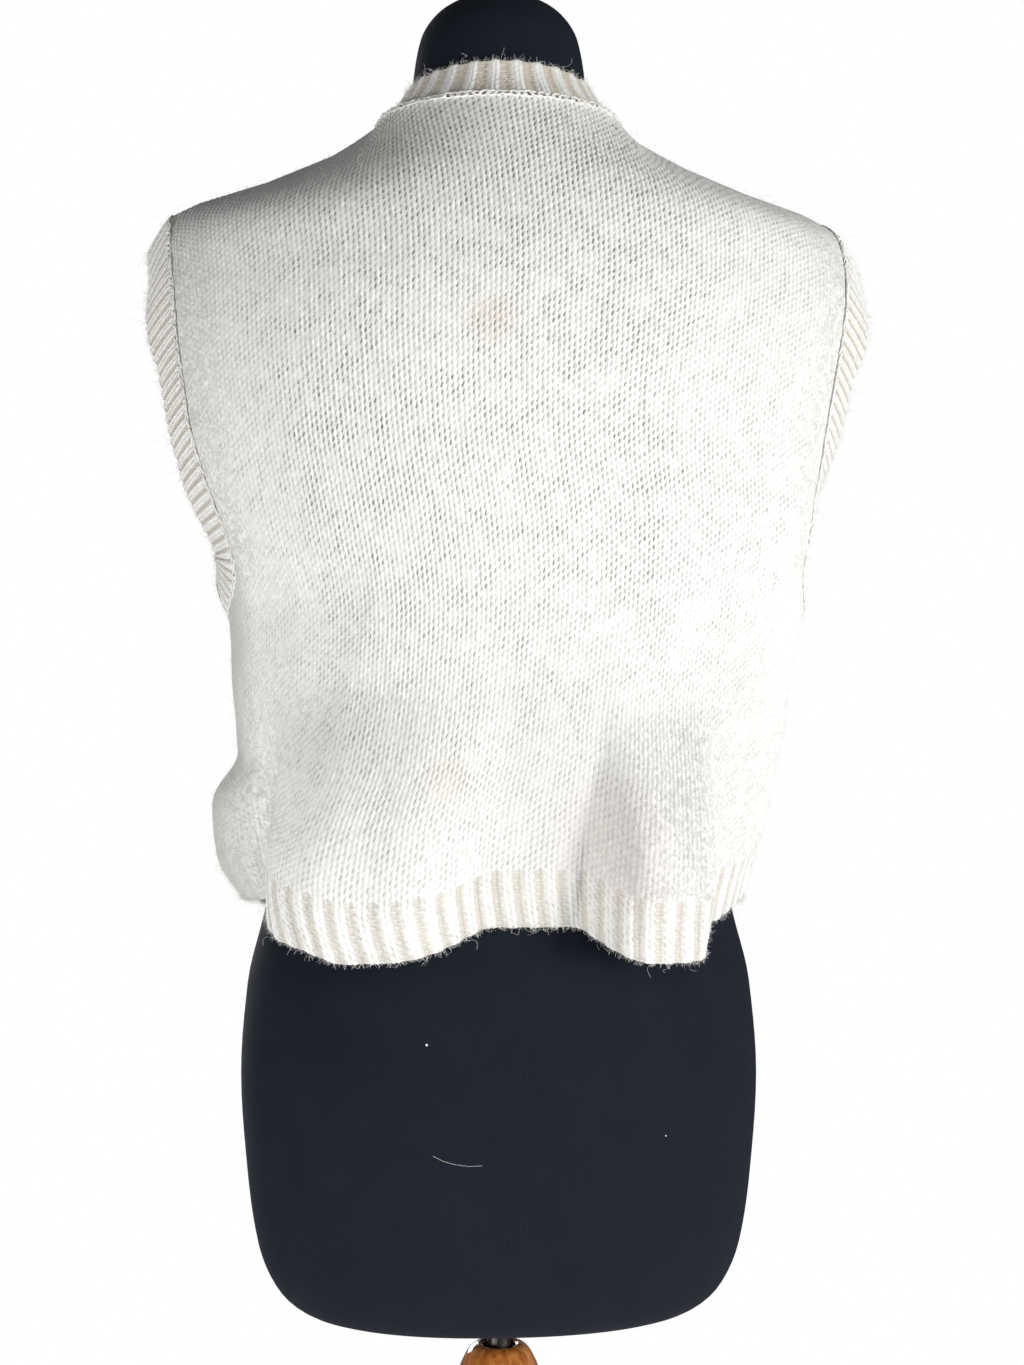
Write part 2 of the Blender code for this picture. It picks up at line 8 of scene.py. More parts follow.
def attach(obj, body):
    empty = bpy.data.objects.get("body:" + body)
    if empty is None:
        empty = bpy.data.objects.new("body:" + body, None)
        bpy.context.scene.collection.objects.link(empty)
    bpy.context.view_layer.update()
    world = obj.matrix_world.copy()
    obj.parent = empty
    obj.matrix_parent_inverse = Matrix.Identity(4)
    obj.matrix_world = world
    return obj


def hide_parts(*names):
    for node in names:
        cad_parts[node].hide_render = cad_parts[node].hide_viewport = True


# A cropped hand-knit sweater vest on a black dress form with a turned wooden stand.
# Metres, Z up, the pole on the Z axis; the garment's front faces -Y, its left side is +X.
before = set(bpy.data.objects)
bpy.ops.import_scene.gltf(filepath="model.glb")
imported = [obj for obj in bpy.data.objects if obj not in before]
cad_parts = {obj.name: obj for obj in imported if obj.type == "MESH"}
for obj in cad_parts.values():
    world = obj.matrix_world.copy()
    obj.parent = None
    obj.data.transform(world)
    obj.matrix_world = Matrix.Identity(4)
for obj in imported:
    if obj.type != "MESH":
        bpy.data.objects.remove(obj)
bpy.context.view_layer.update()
print("frame loaded with", len(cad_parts), "parts")

# ---- the cloth's cut, in stitches (wales) and metres up the cloth
cloth = {
    "eye": 1.105,             # level that all heights below are taken from
    "wall": 0.0030,
    "gap": 0.0003,            # between neighbouring pieces
    "bandGap": 0.0008,        # between a panel and the neckband
    "halfWales": 43.5,        # stitches from the centre to the side seam
    "armholeWales": 35.5,     # and to the armhole
    "neckWales": 16.706,      # and to the neck point
    "underarmFlat": 0.155,    # where the armhole begins
    "underarmRun": 0.045,     # and how far up it curves in
    "topFlat": 0.472,
    "hemDepth": 0.034,
    "courses": 108,           # rows of stitches from hem rib to shoulder
    "droop": 1.7,             # how late a row falls away towards its edge
    "shoulderTurn": 0.030,    # how roundly the cloth goes over the shoulder seam
    "evenBelow": 0.15,        # below this, stitches are spaced evenly over the folds
    "evenFade": 0.08,
    "evenShare": 0.9,
    "neckPower": 1.6,         # shape of the neckline
    "neckDrop": 0.080,        # how far the front is cut down to it
}

# flat; at the edge: height, depth, half width, shift, roundness, stitches;
# height and depth in the middle of the back; the same in the middle of the front
clothRows = [
    (-0.034, -0.1460, 0.000, 0.1530, 0.0015, 2.00, 43.5, -0.1400, 0.1120, -0.1440, 0.1160),
    (0.000, -0.1130, 0.000, 0.1590, -0.0010, 2.00, 43.5, -0.1070, 0.1150, -0.1110, 0.1220),
    (0.052, -0.0600, 0.000, 0.1660, -0.0050, 2.00, 43.5, -0.0560, 0.1180, -0.0600, 0.1290),
    (0.110, 0.0000, 0.000, 0.1730, -0.0085, 2.00, 43.5, 0.0020, 0.1200, -0.0020, 0.1350),
    (0.155, 0.0420, 0.000, 0.1790, -0.0115, 1.95, 43.5, 0.0460, 0.1210, 0.0410, 0.1385),
    (0.202, 0.0850, 0.043, 0.1760, -0.0100, 1.60, 35.5, 0.0930, 0.1215, 0.0860, 0.1395),
    (0.250, 0.1290, 0.047, 0.1870, -0.0050, 1.40, 35.5, 0.1400, 0.1215, 0.1320, 0.1370),
    (0.312, 0.1880, 0.046, 0.1990, -0.0045, 1.25, 35.5, 0.2020, 0.1185, 0.1910, 0.1250),
    (0.364, 0.2350, 0.039, 0.2060, -0.0060, 1.15, 35.5, 0.2520, 0.1100, 0.2400, 0.1080),
    (0.410, 0.2700, 0.023, 0.2080, -0.0045, 1.10, 35.5, 0.2970, 0.0950, 0.2860, 0.0900),
]
shoulderLine = [(0.0755, 0.3465), (0.1010, 0.3275), (0.1410, 0.3100), (0.1850, 0.2960), (0.2030, 0.2870)]
neckTop = {"half": 0.0755, "back": 0.0700, "front": 0.0500, "side": 0.3465, "rise": 0.0015, "dip": 0.0}
neckEdge = {"half": 0.0578, "back": 0.0610, "front": 0.0760, "side": 0.3665, "rise": 0.0050, "dip": 0.0660}

# big folds, the same as the solid's: stitches round from the centre back, half width, height,
# reach up and down, how far out, how far down, squareness
bigFolds = [
    (16.5, 14.5, -0.185, 0.190, 0.0360, 0.0165, 2.0),    # left flute of the back hem
    (23.0, 10.0, -0.160, 0.160, 0.0080, 0.0010, 1.4),    # its outer edge
    (-15.6, 7.8, -0.175, 0.165, 0.0400, 0.0175, 2.2),    # right flute
    (41.0, 10.0, -0.099, 0.056, 0.0180, 0.0000, 2.0),    # left pouch
    (32.5, 5.0, -0.085, 0.060, -0.0060, 0.0000, 2.0),    # crease beside it
    (38.0, 16.0, -0.150, 0.100, 0.0000, -0.0130, 2.0),   # left hem lift
    (25.5, 9.5, -0.150, 0.085, 0.0000, -0.0115, 2.0),    # left corner lift
    (-43.5, 15.0, -0.150, 0.060, 0.0000, -0.0110, 2.0),  # right hem lift
    (72.0, 10.0, -0.180, 0.115, 0.0260, 0.0080, 2.0),    # front left flute
    (-66.0, 11.0, -0.180, 0.110, 0.0240, 0.0070, 2.0),   # front right flute
]

# soft creases over them: stitches round, half width, height, reach, how far
# out, and how many stitches the crease leans over its reach
softCreases = [
    (-7.0, 4.2, -0.040, 0.100, -0.0009, 3.0),
    (-12.0, 3.6, -0.020, 0.120, 0.0016, 2.0),
    (2.5, 5.0, -0.070, 0.080, 0.0014, -2.0),
    (24.0, 4.0, -0.020, 0.110, -0.0012, -4.0),
    (30.0, 3.0, 0.110, 0.070, 0.0012, 5.0),
    (-30.0, 3.2, 0.090, 0.075, 0.0013, -5.0),
    (36.5, 3.4, -0.030, 0.055, 0.0026, 3.0),
    (-36.0, 3.6, -0.060, 0.060, 0.0020, -3.0),
    (12.0, 6.0, 0.215, 0.060, 0.0012, 4.0),
    (-14.0, 6.5, 0.220, 0.060, 0.0012, -4.0),
    (60.0, 4.5, -0.030, 0.090, 0.0022, 3.0),
    (-58.0, 4.2, -0.020, 0.090, 0.0022, -3.0),
    (80.0, 5.0, -0.080, 0.080, -0.0018, 2.0),
    (-78.0, 5.5, -0.060, 0.090, 0.0016, -2.0),
    (66.0, 4.0, 0.120, 0.080, -0.0016, -5.0),
    (-68.0, 4.0, 0.130, 0.080, -0.0016, 5.0),
]


def bump(distance, width, square=2.0):
    inside = np.clip(1.0 - np.abs(distance / width) ** square, 0.0, 1.0)
    return inside ** 2 * (3.0 - 2.0 * inside)


def sideOf(wales):
    return np.sign(wales) + (wales == 0)


def unit(vectors):
    return vectors / np.linalg.norm(vectors, axis=1)[:, None]


def lengthsAlong(line):
    steps = np.linalg.norm(np.diff(line, axis=0), axis=1)
    return np.concatenate([[0.0], np.cumsum(steps)])


def hermite(t, start, startSlope, end, endSlope):
    curve = (2 * t ** 3 - 3 * t ** 2 + 1) * start + (t ** 3 - 2 * t ** 2 + t) * startSlope
    return curve + ((3 * t ** 2 - 2 * t ** 3) * end + (t ** 3 - t ** 2) * endSlope)


def alongRow(row, share, behind):
    _, edge, edgeDepth, half, _, roundness, _, *middles = row
    middle, depth = middles[:2] if behind else middles[2:]
    turn = np.linspace(0.0, math.pi / 2, 61)
    across = half * np.sin(turn)
    out = edgeDepth + (depth - edgeDepth) * np.cos(turn) ** (2.0 / roundness)
    length = np.concatenate([[0.0], np.cumsum(np.hypot(np.diff(across), np.diff(out)))])
    inner = np.clip(share, 0.0, 1.0)
    x = np.interp(inner * length[-1], length, across)
    y = np.interp(inner * length[-1], length, out)
    over = np.clip(share - 1.0, 0.0, None) * length[-1]
    step = np.array([across[-1] - across[-4], out[-1] - out[-4]])
    step /= np.hypot(*step)
    z = middle + (edge - middle) * share ** cloth["droop"]
    return x + over * step[0], y + over * step[1], z


def neckPoint(ring, share, behind):
    turn = share * math.pi / 2
    depth = ring["back"] if behind else ring["front"]
    height = ring["rise"] if behind else -ring["dip"]
    x = ring["half"] * np.sin(turn)
    y = depth * np.cos(turn)
    z = ring["side"] + height * np.cos(turn) ** cloth["neckPower"]
    return x, y, z


def topRow(wales, behind):
    neckWales = cloth["neckWales"]
    x, y, z = neckPoint(neckTop, np.clip(wales / neckWales, 0.0, 1.0), behind)
    line = np.array(shoulderLine)
    length = np.concatenate([[0.0], np.cumsum(np.hypot(*np.diff(line, axis=0).T))])
    share = (wales - neckWales) / (cloth["armholeWales"] - neckWales)
    at = np.clip(share, 0.0, 1.3) * length[-1]
    onShoulder = share > 0
    slope = (line[-1] - line[-2]) / (length[-1] - length[-2])
    over = np.clip(at - length[-1], 0.0, None)
    x = np.where(onShoulder, np.interp(at, length, line[:, 0]) + over * slope[0], x)
    z = np.where(onShoulder, np.interp(at, length, line[:, 1]) + over * slope[1], z)
    return x, np.where(onShoulder, 0.0, y), z


def plainSurface(wales, flat, behind):
    # the outer face of the cloth before its folds, from the rows through a smooth curve
    side = sideOf(wales)
    count = np.abs(wales)
    knots = []
    points = []
    for row in clothRows:
        x, y, z = alongRow(row, count / row[6], behind)
        knots.append(row[0])
        points.append(np.stack([side * x + row[4], y, z], axis=-1))
    x, y, z = topRow(count, behind)
    knots.append(cloth["topFlat"])
    points.append(np.stack([side * x, y, z], axis=-1))

    knots = np.array(knots)
    points = np.array(points)
    slopes = np.empty_like(points)
    spans = np.diff(knots)[:, None, None]
    steps = np.diff(points, axis=0) / spans
    slopes[1:-1] = (steps[:-1] * spans[1:] + steps[1:] * spans[:-1]) / (spans[1:] + spans[:-1])
    slopes[0] = steps[0]
    slopes[-1] = steps[-1]
    over = np.clip((count - cloth["neckWales"] + 1.0) / 5.0, 0.0, 1.0)[..., None]
    flatTurn = np.zeros_like(slopes[-1])
    flatTurn[..., 1] = -cloth["shoulderTurn"] / (knots[-1] - knots[-2])
    slopes[-1] = slopes[-1] * (1.0 - over) + flatTurn * over

    last = np.clip(np.searchsorted(knots, flat, side="right") - 1, 0, len(knots) - 2)
    column = np.arange(len(wales))
    span = (knots[last + 1] - knots[last])[:, None]
    t = (flat - knots[last])[:, None] / span
    place = hermite(t, points[last, column], slopes[last, column] * span,
                    points[last + 1, column], slopes[last + 1, column] * span)
    if not behind:
        place[:, 1] *= -1.0
    return place


def folded(wales, flat, behind):
    place = plainSurface(wales, flat, behind)
    halfWales = cloth["halfWales"]
    around = wales if behind else sideOf(wales) * (2 * halfWales - np.abs(wales))
    away = unit(place * np.array([1.0, 1.3, 0.0]))
    level = place[:, 2].copy()
    for middle, width, height, reach, out, drop, square in bigFolds:
        apart = (around - middle + 2 * halfWales) % (4 * halfWales) - 2 * halfWales
        share = bump(apart, width, square) * bump(level - height, reach)
        place += away * (out * share)[:, None]
        place[:, 2] -= drop * share
    for middle, width, height, reach, out, lean in softCreases:
        rise = (level - height) / reach
        apart = (around - middle - lean * rise + 2 * halfWales) % (4 * halfWales) - 2 * halfWales
        share = bump(apart, width * (1.0 + 0.35 * rise)) * bump(level - height, reach)
        place += away * (out * share)[:, None]
    place[:, 2] += cloth["eye"]
    return place


def armholeEdge(flat):
    share = np.clip((flat - cloth["underarmFlat"]) / cloth["underarmRun"], 0.0, 1.0)
    return cloth["armholeWales"] + (cloth["halfWales"] - cloth["armholeWales"]) * (1.0 - share) ** 2.4


def topEdge(wales, behind):
    # the front is cut down to its neckline
    inside = np.clip(1.0 - (wales / cloth["neckWales"]) ** 2, 0.0, 1.0)
    return cloth["topFlat"] - (0.0 if behind else cloth["neckDrop"]) * inside ** cloth["neckPower"]


def surfaceNormals(wales, flat, behind):
    low = np.maximum(flat - 0.0004, -cloth["hemDepth"])
    high = np.minimum(flat + 0.0004, cloth["topFlat"])
    up = folded(wales, high, behind) - folded(wales, low, behind)
    left = folded(wales + 0.05, flat, behind) - folded(wales - 0.05, flat, behind)
    return unit(np.cross(up, left) if behind else np.cross(left, up))


def evenStitches(wales, flat, behind):
    # low down, where the folds are, each course spaces its stitches evenly over them
    halfWales = cloth["halfWales"]
    fine = np.linspace(-halfWales, halfWales, 350)
    levels = np.linspace(-cloth["hemDepth"], cloth["evenBelow"], 14)
    places = []
    for level in levels:
        length = lengthsAlong(folded(fine, np.full(fine.shape, level), behind))
        even = np.interp(np.linspace(0.0, length[-1], len(fine)), length, fine)
        weight = cloth["evenShare"] * min(1.0, (cloth["evenBelow"] - level) / cloth["evenFade"])
        places.append(fine + (even - fine) * weight)
    places = np.array(places)
    row = np.clip((flat - levels[0]) / (levels[1] - levels[0]), 0.0, len(levels) - 1.001)
    column = np.clip((wales + halfWales) / (2 * halfWales) * (len(fine) - 1), 0.0, len(fine) - 1.001)
    i = row.astype(int)
    j = column.astype(int)
    low = places[i, j] + (places[i, j + 1] - places[i, j]) * (column - j)
    high = places[i + 1, j] + (places[i + 1, j + 1] - places[i + 1, j]) * (column - j)
    return np.where(flat < cloth["evenBelow"], low + (high - low) * (row - i), wales)


def brushedAndShaded(wales, flat, behind):
    # how far the fluff hides the stitches, and where grey is painted as shade: over the shoulders,
    # round the armholes, low down, on the pouch, and a little more towards the right
    across = np.abs(wales)
    shoulder = bump(flat - cloth["topFlat"], 0.075) * np.clip((across - 11.0) / 9.0, 0.0, 1.0)
    edge = armholeEdge(flat)
    side = 0.45 * bump(across - edge, 7.0) + 0.8 * bump(across - edge, 1.6)
    side = side * np.clip((flat - 0.12) / 0.08, 0.0, 1.0)
    low = 0.40 * np.clip((0.24 - flat) / 0.22, 0.0, 1.0)
    pouch = 0.75 * bump(wales - 41.0, 12.0) * bump(flat - 0.015, 0.075) if behind else 0.0
    right = 0.30 * bump(wales + 30.0, 18.0) + 0.35 * bump(wales + 15.6, 9.0) * bump(flat - 0.03, 0.09)
    left = 0.35 * bump(wales - 33.0, 11.0)
    return np.clip(0.85 * shoulder + side + low + pouch + right + left, 0.0, 0.97)


def paintedShade(wales, flat, behind):
    # painted shade: grey painted on the back's left side, on its left shoulder and as a shadow between the
    # flutes
    if not behind:
        return np.zeros(np.shape(wales))
    side = 0.85 * bump(wales - 43.5, 11.0)
    shoulder = 0.85 * bump(flat - cloth["topFlat"], 0.090) * np.clip((wales - 9.0) / 14.0, 0.0, 1.0)
    hollow = 0.34 * bump(wales + 4.0, 9.0) * bump(flat - 0.025, 0.120)   # between the two flutes
    return np.clip(side + shoulder + hollow, 0.0, 0.85)


def neckLines(wales, behind):
    seam = folded(wales, topEdge(wales, behind), behind)
    x, y, z = neckPoint(neckEdge, np.abs(wales) / cloth["neckWales"], behind)
    edge = np.stack([sideOf(wales) * x, y if behind else -y, z + cloth["eye"]], axis=1)
    return seam, edge


def seamNormals(wales, flat, behind):
    n = surfaceNormals(wales, flat, behind)
    neckWales = cloth["neckWales"]
    onNeck = (flat > topEdge(wales, behind) - 1e-6) & (np.abs(wales) < neckWales - 1e-6)
    if onNeck.any():
        count = wales[onNeck]
        seam, edge = neckLines(count, behind)
        ahead, _ = neckLines(count + 0.05, behind)
        n[onNeck] = np.cross(ahead - seam, edge - seam) * (-1.0 if behind else 1.0)
    onSide = np.abs(wales) > cloth["halfWales"] - 1e-6
    onShoulder = (flat > cloth["topFlat"] - 1e-6) & (np.abs(wales) > neckWales - 1e-6)
    seam = onSide | onShoulder
    n[seam, 1] = 0.0
    return unit(n), seam


def clothPoints(wales, flat, behind):
    outer = folded(wales, flat, behind)
    n, seam = seamNormals(wales, flat, behind)
    inner = outer - n * cloth["wall"]
    away = cloth["gap"] / 2 * (1.0 if behind else -1.0)
    outer[seam, 1] = away
    inner[seam, 1] = away
    return outer, inner, n


# ---- turning points and faces into pieces
def makePiece(name, points, faces, uv, material, marks):
    # marks are named amounts, one for each point
    mesh = bpy.data.meshes.new(name)
    mesh.from_pydata([tuple(p) for p in points], [], faces)
    if uv is not None:
        layer = mesh.uv_layers.new(name="stitch")
        corner = np.empty(len(mesh.loops), dtype=np.int32)
        mesh.loops.foreach_get("vertex_index", corner)
        layer.data.foreach_set("uv", np.asarray(uv, dtype=np.float32)[corner].ravel())
    for label, amount in marks.items():
        mark = mesh.attributes.new(label, "FLOAT", "POINT")
        mark.data.foreach_set("value", np.asarray(amount, dtype=np.float32))
    mesh.materials.append(material)
    mesh.shade_smooth()
    mesh.set_sharp_from_angle(angle=math.radians(75))
    mesh.update()
    piece = bpy.data.objects.new(name, mesh)
    bpy.context.collection.objects.link(piece)
    return piece


def quads(grid):
    # the faces between neighbouring rows and columns of a grid of points
    corners = [grid[:-1, :-1], grid[:-1, 1:], grid[1:, 1:], grid[1:, :-1]]
    return np.stack([corner.ravel() for corner in corners], axis=1).tolist()


def tidyFaces(faces):
    # leaves out corners that fell together, and faces that have fewer than three left
    kept = []
    for face in faces:
        corners = []
        for v in face:
            if not corners or v != corners[-1]:
                corners.append(v)
        if len(corners) > 1 and corners[0] == corners[-1]:
            corners.pop()
        if len(corners) > 2 and len(set(corners)) == len(corners):
            kept.append(corners)
    return kept


def countTriangles(piece):
    return sum(len(p.vertices) - 2 for p in piece.data.polygons)


# ---- helpers for node trees
def addNode(tree, kind, inputs=None, **settings):
    node = tree.nodes.new(kind)
    for key, value in settings.items():
        setattr(node, key, value)
    for key, value in (inputs or {}).items():
        socket = node.inputs[key]
        if isinstance(value, bpy.types.NodeSocket):
            tree.links.new(value, socket)
        else:
            socket.default_value = value
    return node


def calc(tree, operation, a, b=0.0, c=0.0):
    inputs = {0: a, 1: b, 2: c}
    return addNode(tree, "ShaderNodeMath", inputs, operation=operation).outputs[0]


def times(tree, a, b):
    return calc(tree, "MULTIPLY", a, b)


def plus(tree, a, b):
    return calc(tree, "ADD", a, b)


def minus(tree, a, b):
    return calc(tree, "SUBTRACT", a, b)


def remap(tree, value, fromMin, fromMax, toMin, toMax, smooth=True):
    inputs = {"Value": value, "From Min": fromMin, "From Max": fromMax, "To Min": toMin, "To Max": toMax}
    kind = "SMOOTHSTEP" if smooth else "LINEAR"
    return addNode(tree, "ShaderNodeMapRange", inputs, interpolation_type=kind).outputs["Result"]


def blendColour(tree, factor, a, b, mode="MIX"):
    node = addNode(tree, "ShaderNodeMix", data_type="RGBA", blend_type=mode)
    for key, value in ((0, factor), (6, a), (7, b)):
        if isinstance(value, bpy.types.NodeSocket):
            tree.links.new(value, node.inputs[key])
        else:
            node.inputs[key].default_value = value if key == 0 else (*value, 1.0)
    return node.outputs[2]


def newMaterial(name):
    material = bpy.data.materials.new(name)
    material.use_nodes = True
    tree = material.node_tree
    return material, tree, addNode(tree, "ShaderNodeTexCoord").outputs["Object"]


def finishMaterial(material, colour, height, strength, distance, amounts):
    # colour and relief are worked out by nodes; amounts are the shader's own settings
    tree = material.node_tree
    shader = tree.nodes["Principled BSDF"]
    relief = addNode(tree, "ShaderNodeBump", {"Height": height, "Strength": strength, "Distance": distance})
    tree.links.new(colour, shader.inputs["Base Color"])
    tree.links.new(relief.outputs["Normal"], shader.inputs["Normal"])
    for label, amount in amounts.items():
        if isinstance(amount, bpy.types.NodeSocket):
            tree.links.new(amount, shader.inputs[label])
        else:
            shader.inputs[label].default_value = amount
    return material


def pointAmount(tree, name):
    mark = addNode(tree, "ShaderNodeAttribute", attribute_name=name, attribute_type="GEOMETRY")
    return mark.outputs["Fac"]


def noise(tree, vector, scale, detail=2.0, rough=0.5, swirl=0.0):
    inputs = {"Vector": vector, "Scale": scale, "Detail": detail, "Roughness": rough, "Distortion": swirl}
    return addNode(tree, "ShaderNodeTexNoise", inputs).outputs["Fac"]


# ---- the wool
wool = {
    "strand": (0.90, 0.897, 0.875),
    "strandDull": (0.79, 0.782, 0.75),
    "grey": (0.50, 0.497, 0.48),         # the grey painted as shade
    "shade": (0.17, 0.165, 0.155),       # what shows between the strands
    # painted shade in the rib's purl grooves
    "trough": (0.52, 0.46, 0.37),
    "stain": (0.80, 0.60, 0.40),         # the stains multiply the wool's own colour
    "blush": (0.80, 0.62, 0.58),
    "stainDepth": 0.32,
    # real stains; the large blush between the flutes is also made deep enough to stand in for painted shade
    # in that hollow
    "stains": [((-0.055, 0.130, 1.018), 0.048, "blush"), ((0.036, 0.135, 1.052), 0.022, "stain"),
               ((0.012, 0.118, 1.312), 0.020, "stain"), ((-0.075, 0.125, 0.985), 0.026, "blush"),
               ((0.060, -0.140, 1.180), 0.024, "stain"), ((-0.110, -0.090, 1.040), 0.022, "blush")],
}


def makeWool(name, ribbed, crisp):
    material, tree, place = newMaterial(name)
    stitch = addNode(tree, "ShaderNodeUVMap", uv_map="stitch").outputs["UV"]
    parts = addNode(tree, "ShaderNodeSeparateXYZ", {0: stitch})
    u = parts.outputs["X"]
    v = parts.outputs["Y"]
    # uneven tension
    wander = noise(tree, place, 140.0, 2.0)
    u = plus(tree, u, times(tree, minus(tree, wander, 0.5), 0.22))
    tug = noise(tree, place, 90.0, 1.0)
    v = plus(tree, v, times(tree, minus(tree, tug, 0.5), 0.30))
    # half-stitch columns, whose gaps open by turns
    columns = times(tree, u, 2.0)
    nearest = calc(tree, "ROUND", columns)
    offset = minus(tree, columns, nearest)
    turnAbout = calc(tree, "COSINE", times(tree, nearest, math.pi))
    course = times(tree, v, 2.0 * math.pi)
    sway = times(tree, times(tree, calc(tree, "SINE", course), turnAbout), 0.10)
    apart = calc(tree, "ABSOLUTE", plus(tree, offset, sway))
    opening = times(tree, calc(tree, "COSINE", course), turnAbout)
    opening = remap(tree, opening, -0.80, 0.20, 0.14, 1.0)
    gap = remap(tree, apart, 0.04, 0.26, 1.0, 0.0)
    dash = times(tree, gap, opening)
    hidden = pointAmount(tree, "brushedAndShaded")
    plain = minus(tree, crisp, times(tree, hidden, crisp))
    dash = times(tree, dash, plain)
    # loose fibres over it all
    fibre = noise(tree, place, 900.0, 3.0, 0.7)
    fluff = noise(tree, place, 260.0, 3.0, 0.6)
    dash = times(tree, dash, remap(tree, fluff, 0.32, 0.66, 1.0, 0.40))
    dash = times(tree, dash, remap(tree, noise(tree, place, 75.0, 2.0), 0.33, 0.67, 0.45, 1.2))
    heather = remap(tree, calc(tree, "MULTIPLY_ADD", fibre, 0.5, times(tree, fluff, 0.5)),
                    0.36, 0.62, 0.0, 1.0)
    cloudy = noise(tree, place, 22.0, 3.0, 0.6)
    colour = blendColour(tree, heather, wool["strandDull"], wool["strand"])
    colour = blendColour(tree, remap(tree, cloudy, 0.35, 0.7, 0.0, 0.16), colour, wool["strandDull"])
    wisps = noise(tree, place, 190.0, 4.0, 0.72, 1.6)
    # where the fluff is thick, grey is painted as shade
    soft = remap(tree, hidden, 0.25, 0.9, 0.0, 0.75)
    soft = times(tree, soft, remap(tree, wisps, 0.36, 0.62, 1.0, 0.0))
    colour = blendColour(tree, soft, colour, wool["grey"])
    # painted shade: the paintedShade mark blends in the grey
    colour = blendColour(tree, pointAmount(tree, "paintedShade"), colour, wool["grey"])
    height = minus(tree, remap(tree, apart, 0.0, 0.5, 0.0, 0.6), times(tree, dash, 0.5))
    if ribbed > 0.0:
        # a knit column stands out beside each purl one, whose bumps lie across; the purl grooves get
        # painted shade
        ridge = calc(tree, "COSINE", times(tree, parts.outputs["X"], math.pi))
        trough = remap(tree, ridge, -0.30, 0.80, 0.0, 1.0)
        grain = calc(tree, "SINE", times(tree, v, 4.0 * math.pi))
        pebble = times(tree, trough, remap(tree, grain, -1.0, 1.0, 0.0, 0.45))
        flatter = minus(tree, 1.0, hidden)
        paintedGrooveShade = times(tree, times(tree, trough, ribbed), flatter)
        colour = blendColour(tree, paintedGrooveShade, colour, wool["trough"])
        dash = times(tree, dash, remap(tree, trough, 0.0, 1.0, 0.75, 0.35))
        height = plus(tree, height, times(tree, pebble, 0.5))
        dash = plus(tree, dash, times(tree, pebble, 0.3))
    colour = blendColour(tree, times(tree, dash, 0.85), colour, wool["shade"])
    for centre, size, tone in wool["stains"]:
        far = addNode(tree, "ShaderNodeVectorMath", {0: place, 1: centre}, operation="DISTANCE")
        amount = remap(tree, far.outputs["Value"], size * 0.2, size, wool["stainDepth"], 0.0)
        amount = times(tree, amount, remap(tree, fluff, 0.35, 0.65, 0.3, 1.0))
        colour = blendColour(tree, amount, colour, wool[tone], "MULTIPLY")
    height = plus(tree, height, times(tree, fibre, 0.35))
    height = plus(tree, height, times(tree, wisps, hidden))
    amounts = {"Roughness": 0.92, "Specular IOR Level": 0.25, "Sheen Weight": 0.25, "Sheen Roughness": 0.6}
    return finishMaterial(material, colour, height, 0.75, 0.0009, amounts)


def makeYarn(name, colour):
    # plain spun yarn, for the linking stitches and the stray fibres
    material, tree, place = newMaterial(name)
    mottle = noise(tree, place, 700.0, 2.0, 0.6)
    dull = tuple(0.82 * c for c in colour)
    tone = blendColour(tree, remap(tree, mottle, 0.35, 0.65, 0.0, 1.0), dull, colour)
    return finishMaterial(material, tone, mottle, 0.4, 0.0003, {"Roughness": 0.8, "Sheen Weight": 0.3})


stockinette = makeWool("stockinetteWool", 0.0, 1.0)
hemWool = makeWool("hemRibWool", 0.50, 0.60)
neckWool = makeWool("neckRibWool", 0.85, 0.20)
armWool = makeWool("armholeRibWool", 1.0, 0.40)
linkYarn = makeYarn("linkYarn", (0.90, 0.89, 0.85))
fluffYarn = makeYarn("fluffYarn", (0.92, 0.90, 0.85))
print("wool materials ready")

# ---- the two panels, stitch by stitch
panel = {
    "columnsPerStitch": 4,
    "rowsPerCourse": 2,
    "coarse": 4,            # the inner wall's grid is this many times wider
    "legUp": 0.00050,       # how far the strands stand out
    "openGap": -0.00095,    # a gap where it opens
    "shutGap": -0.00018,    # and where the strands cross it
    "sway": 0.05,           # strands lean this far to and fro, in stitches
    "uneven": 0.22,
    "matted": 0.55,         # how much of the relief the fluff takes away
}


def panelRelief(column, row, taper):
    quarter = column % 4
    even = (row % 2) == 0
    up = np.full(column.shape, panel["legUp"])
    up = np.where(quarter == 0, np.where(even, panel["openGap"], panel["shutGap"]), up)
    up = np.where(quarter == 2, np.where(even, panel["shutGap"], panel["openGap"]), up)
    swing = np.where(even, 1.0, -1.0) * panel["sway"]
    sideways = np.where(quarter == 1, swing, np.where(quarter == 3, -swing, 0.0))
    return up * taper, sideways * taper


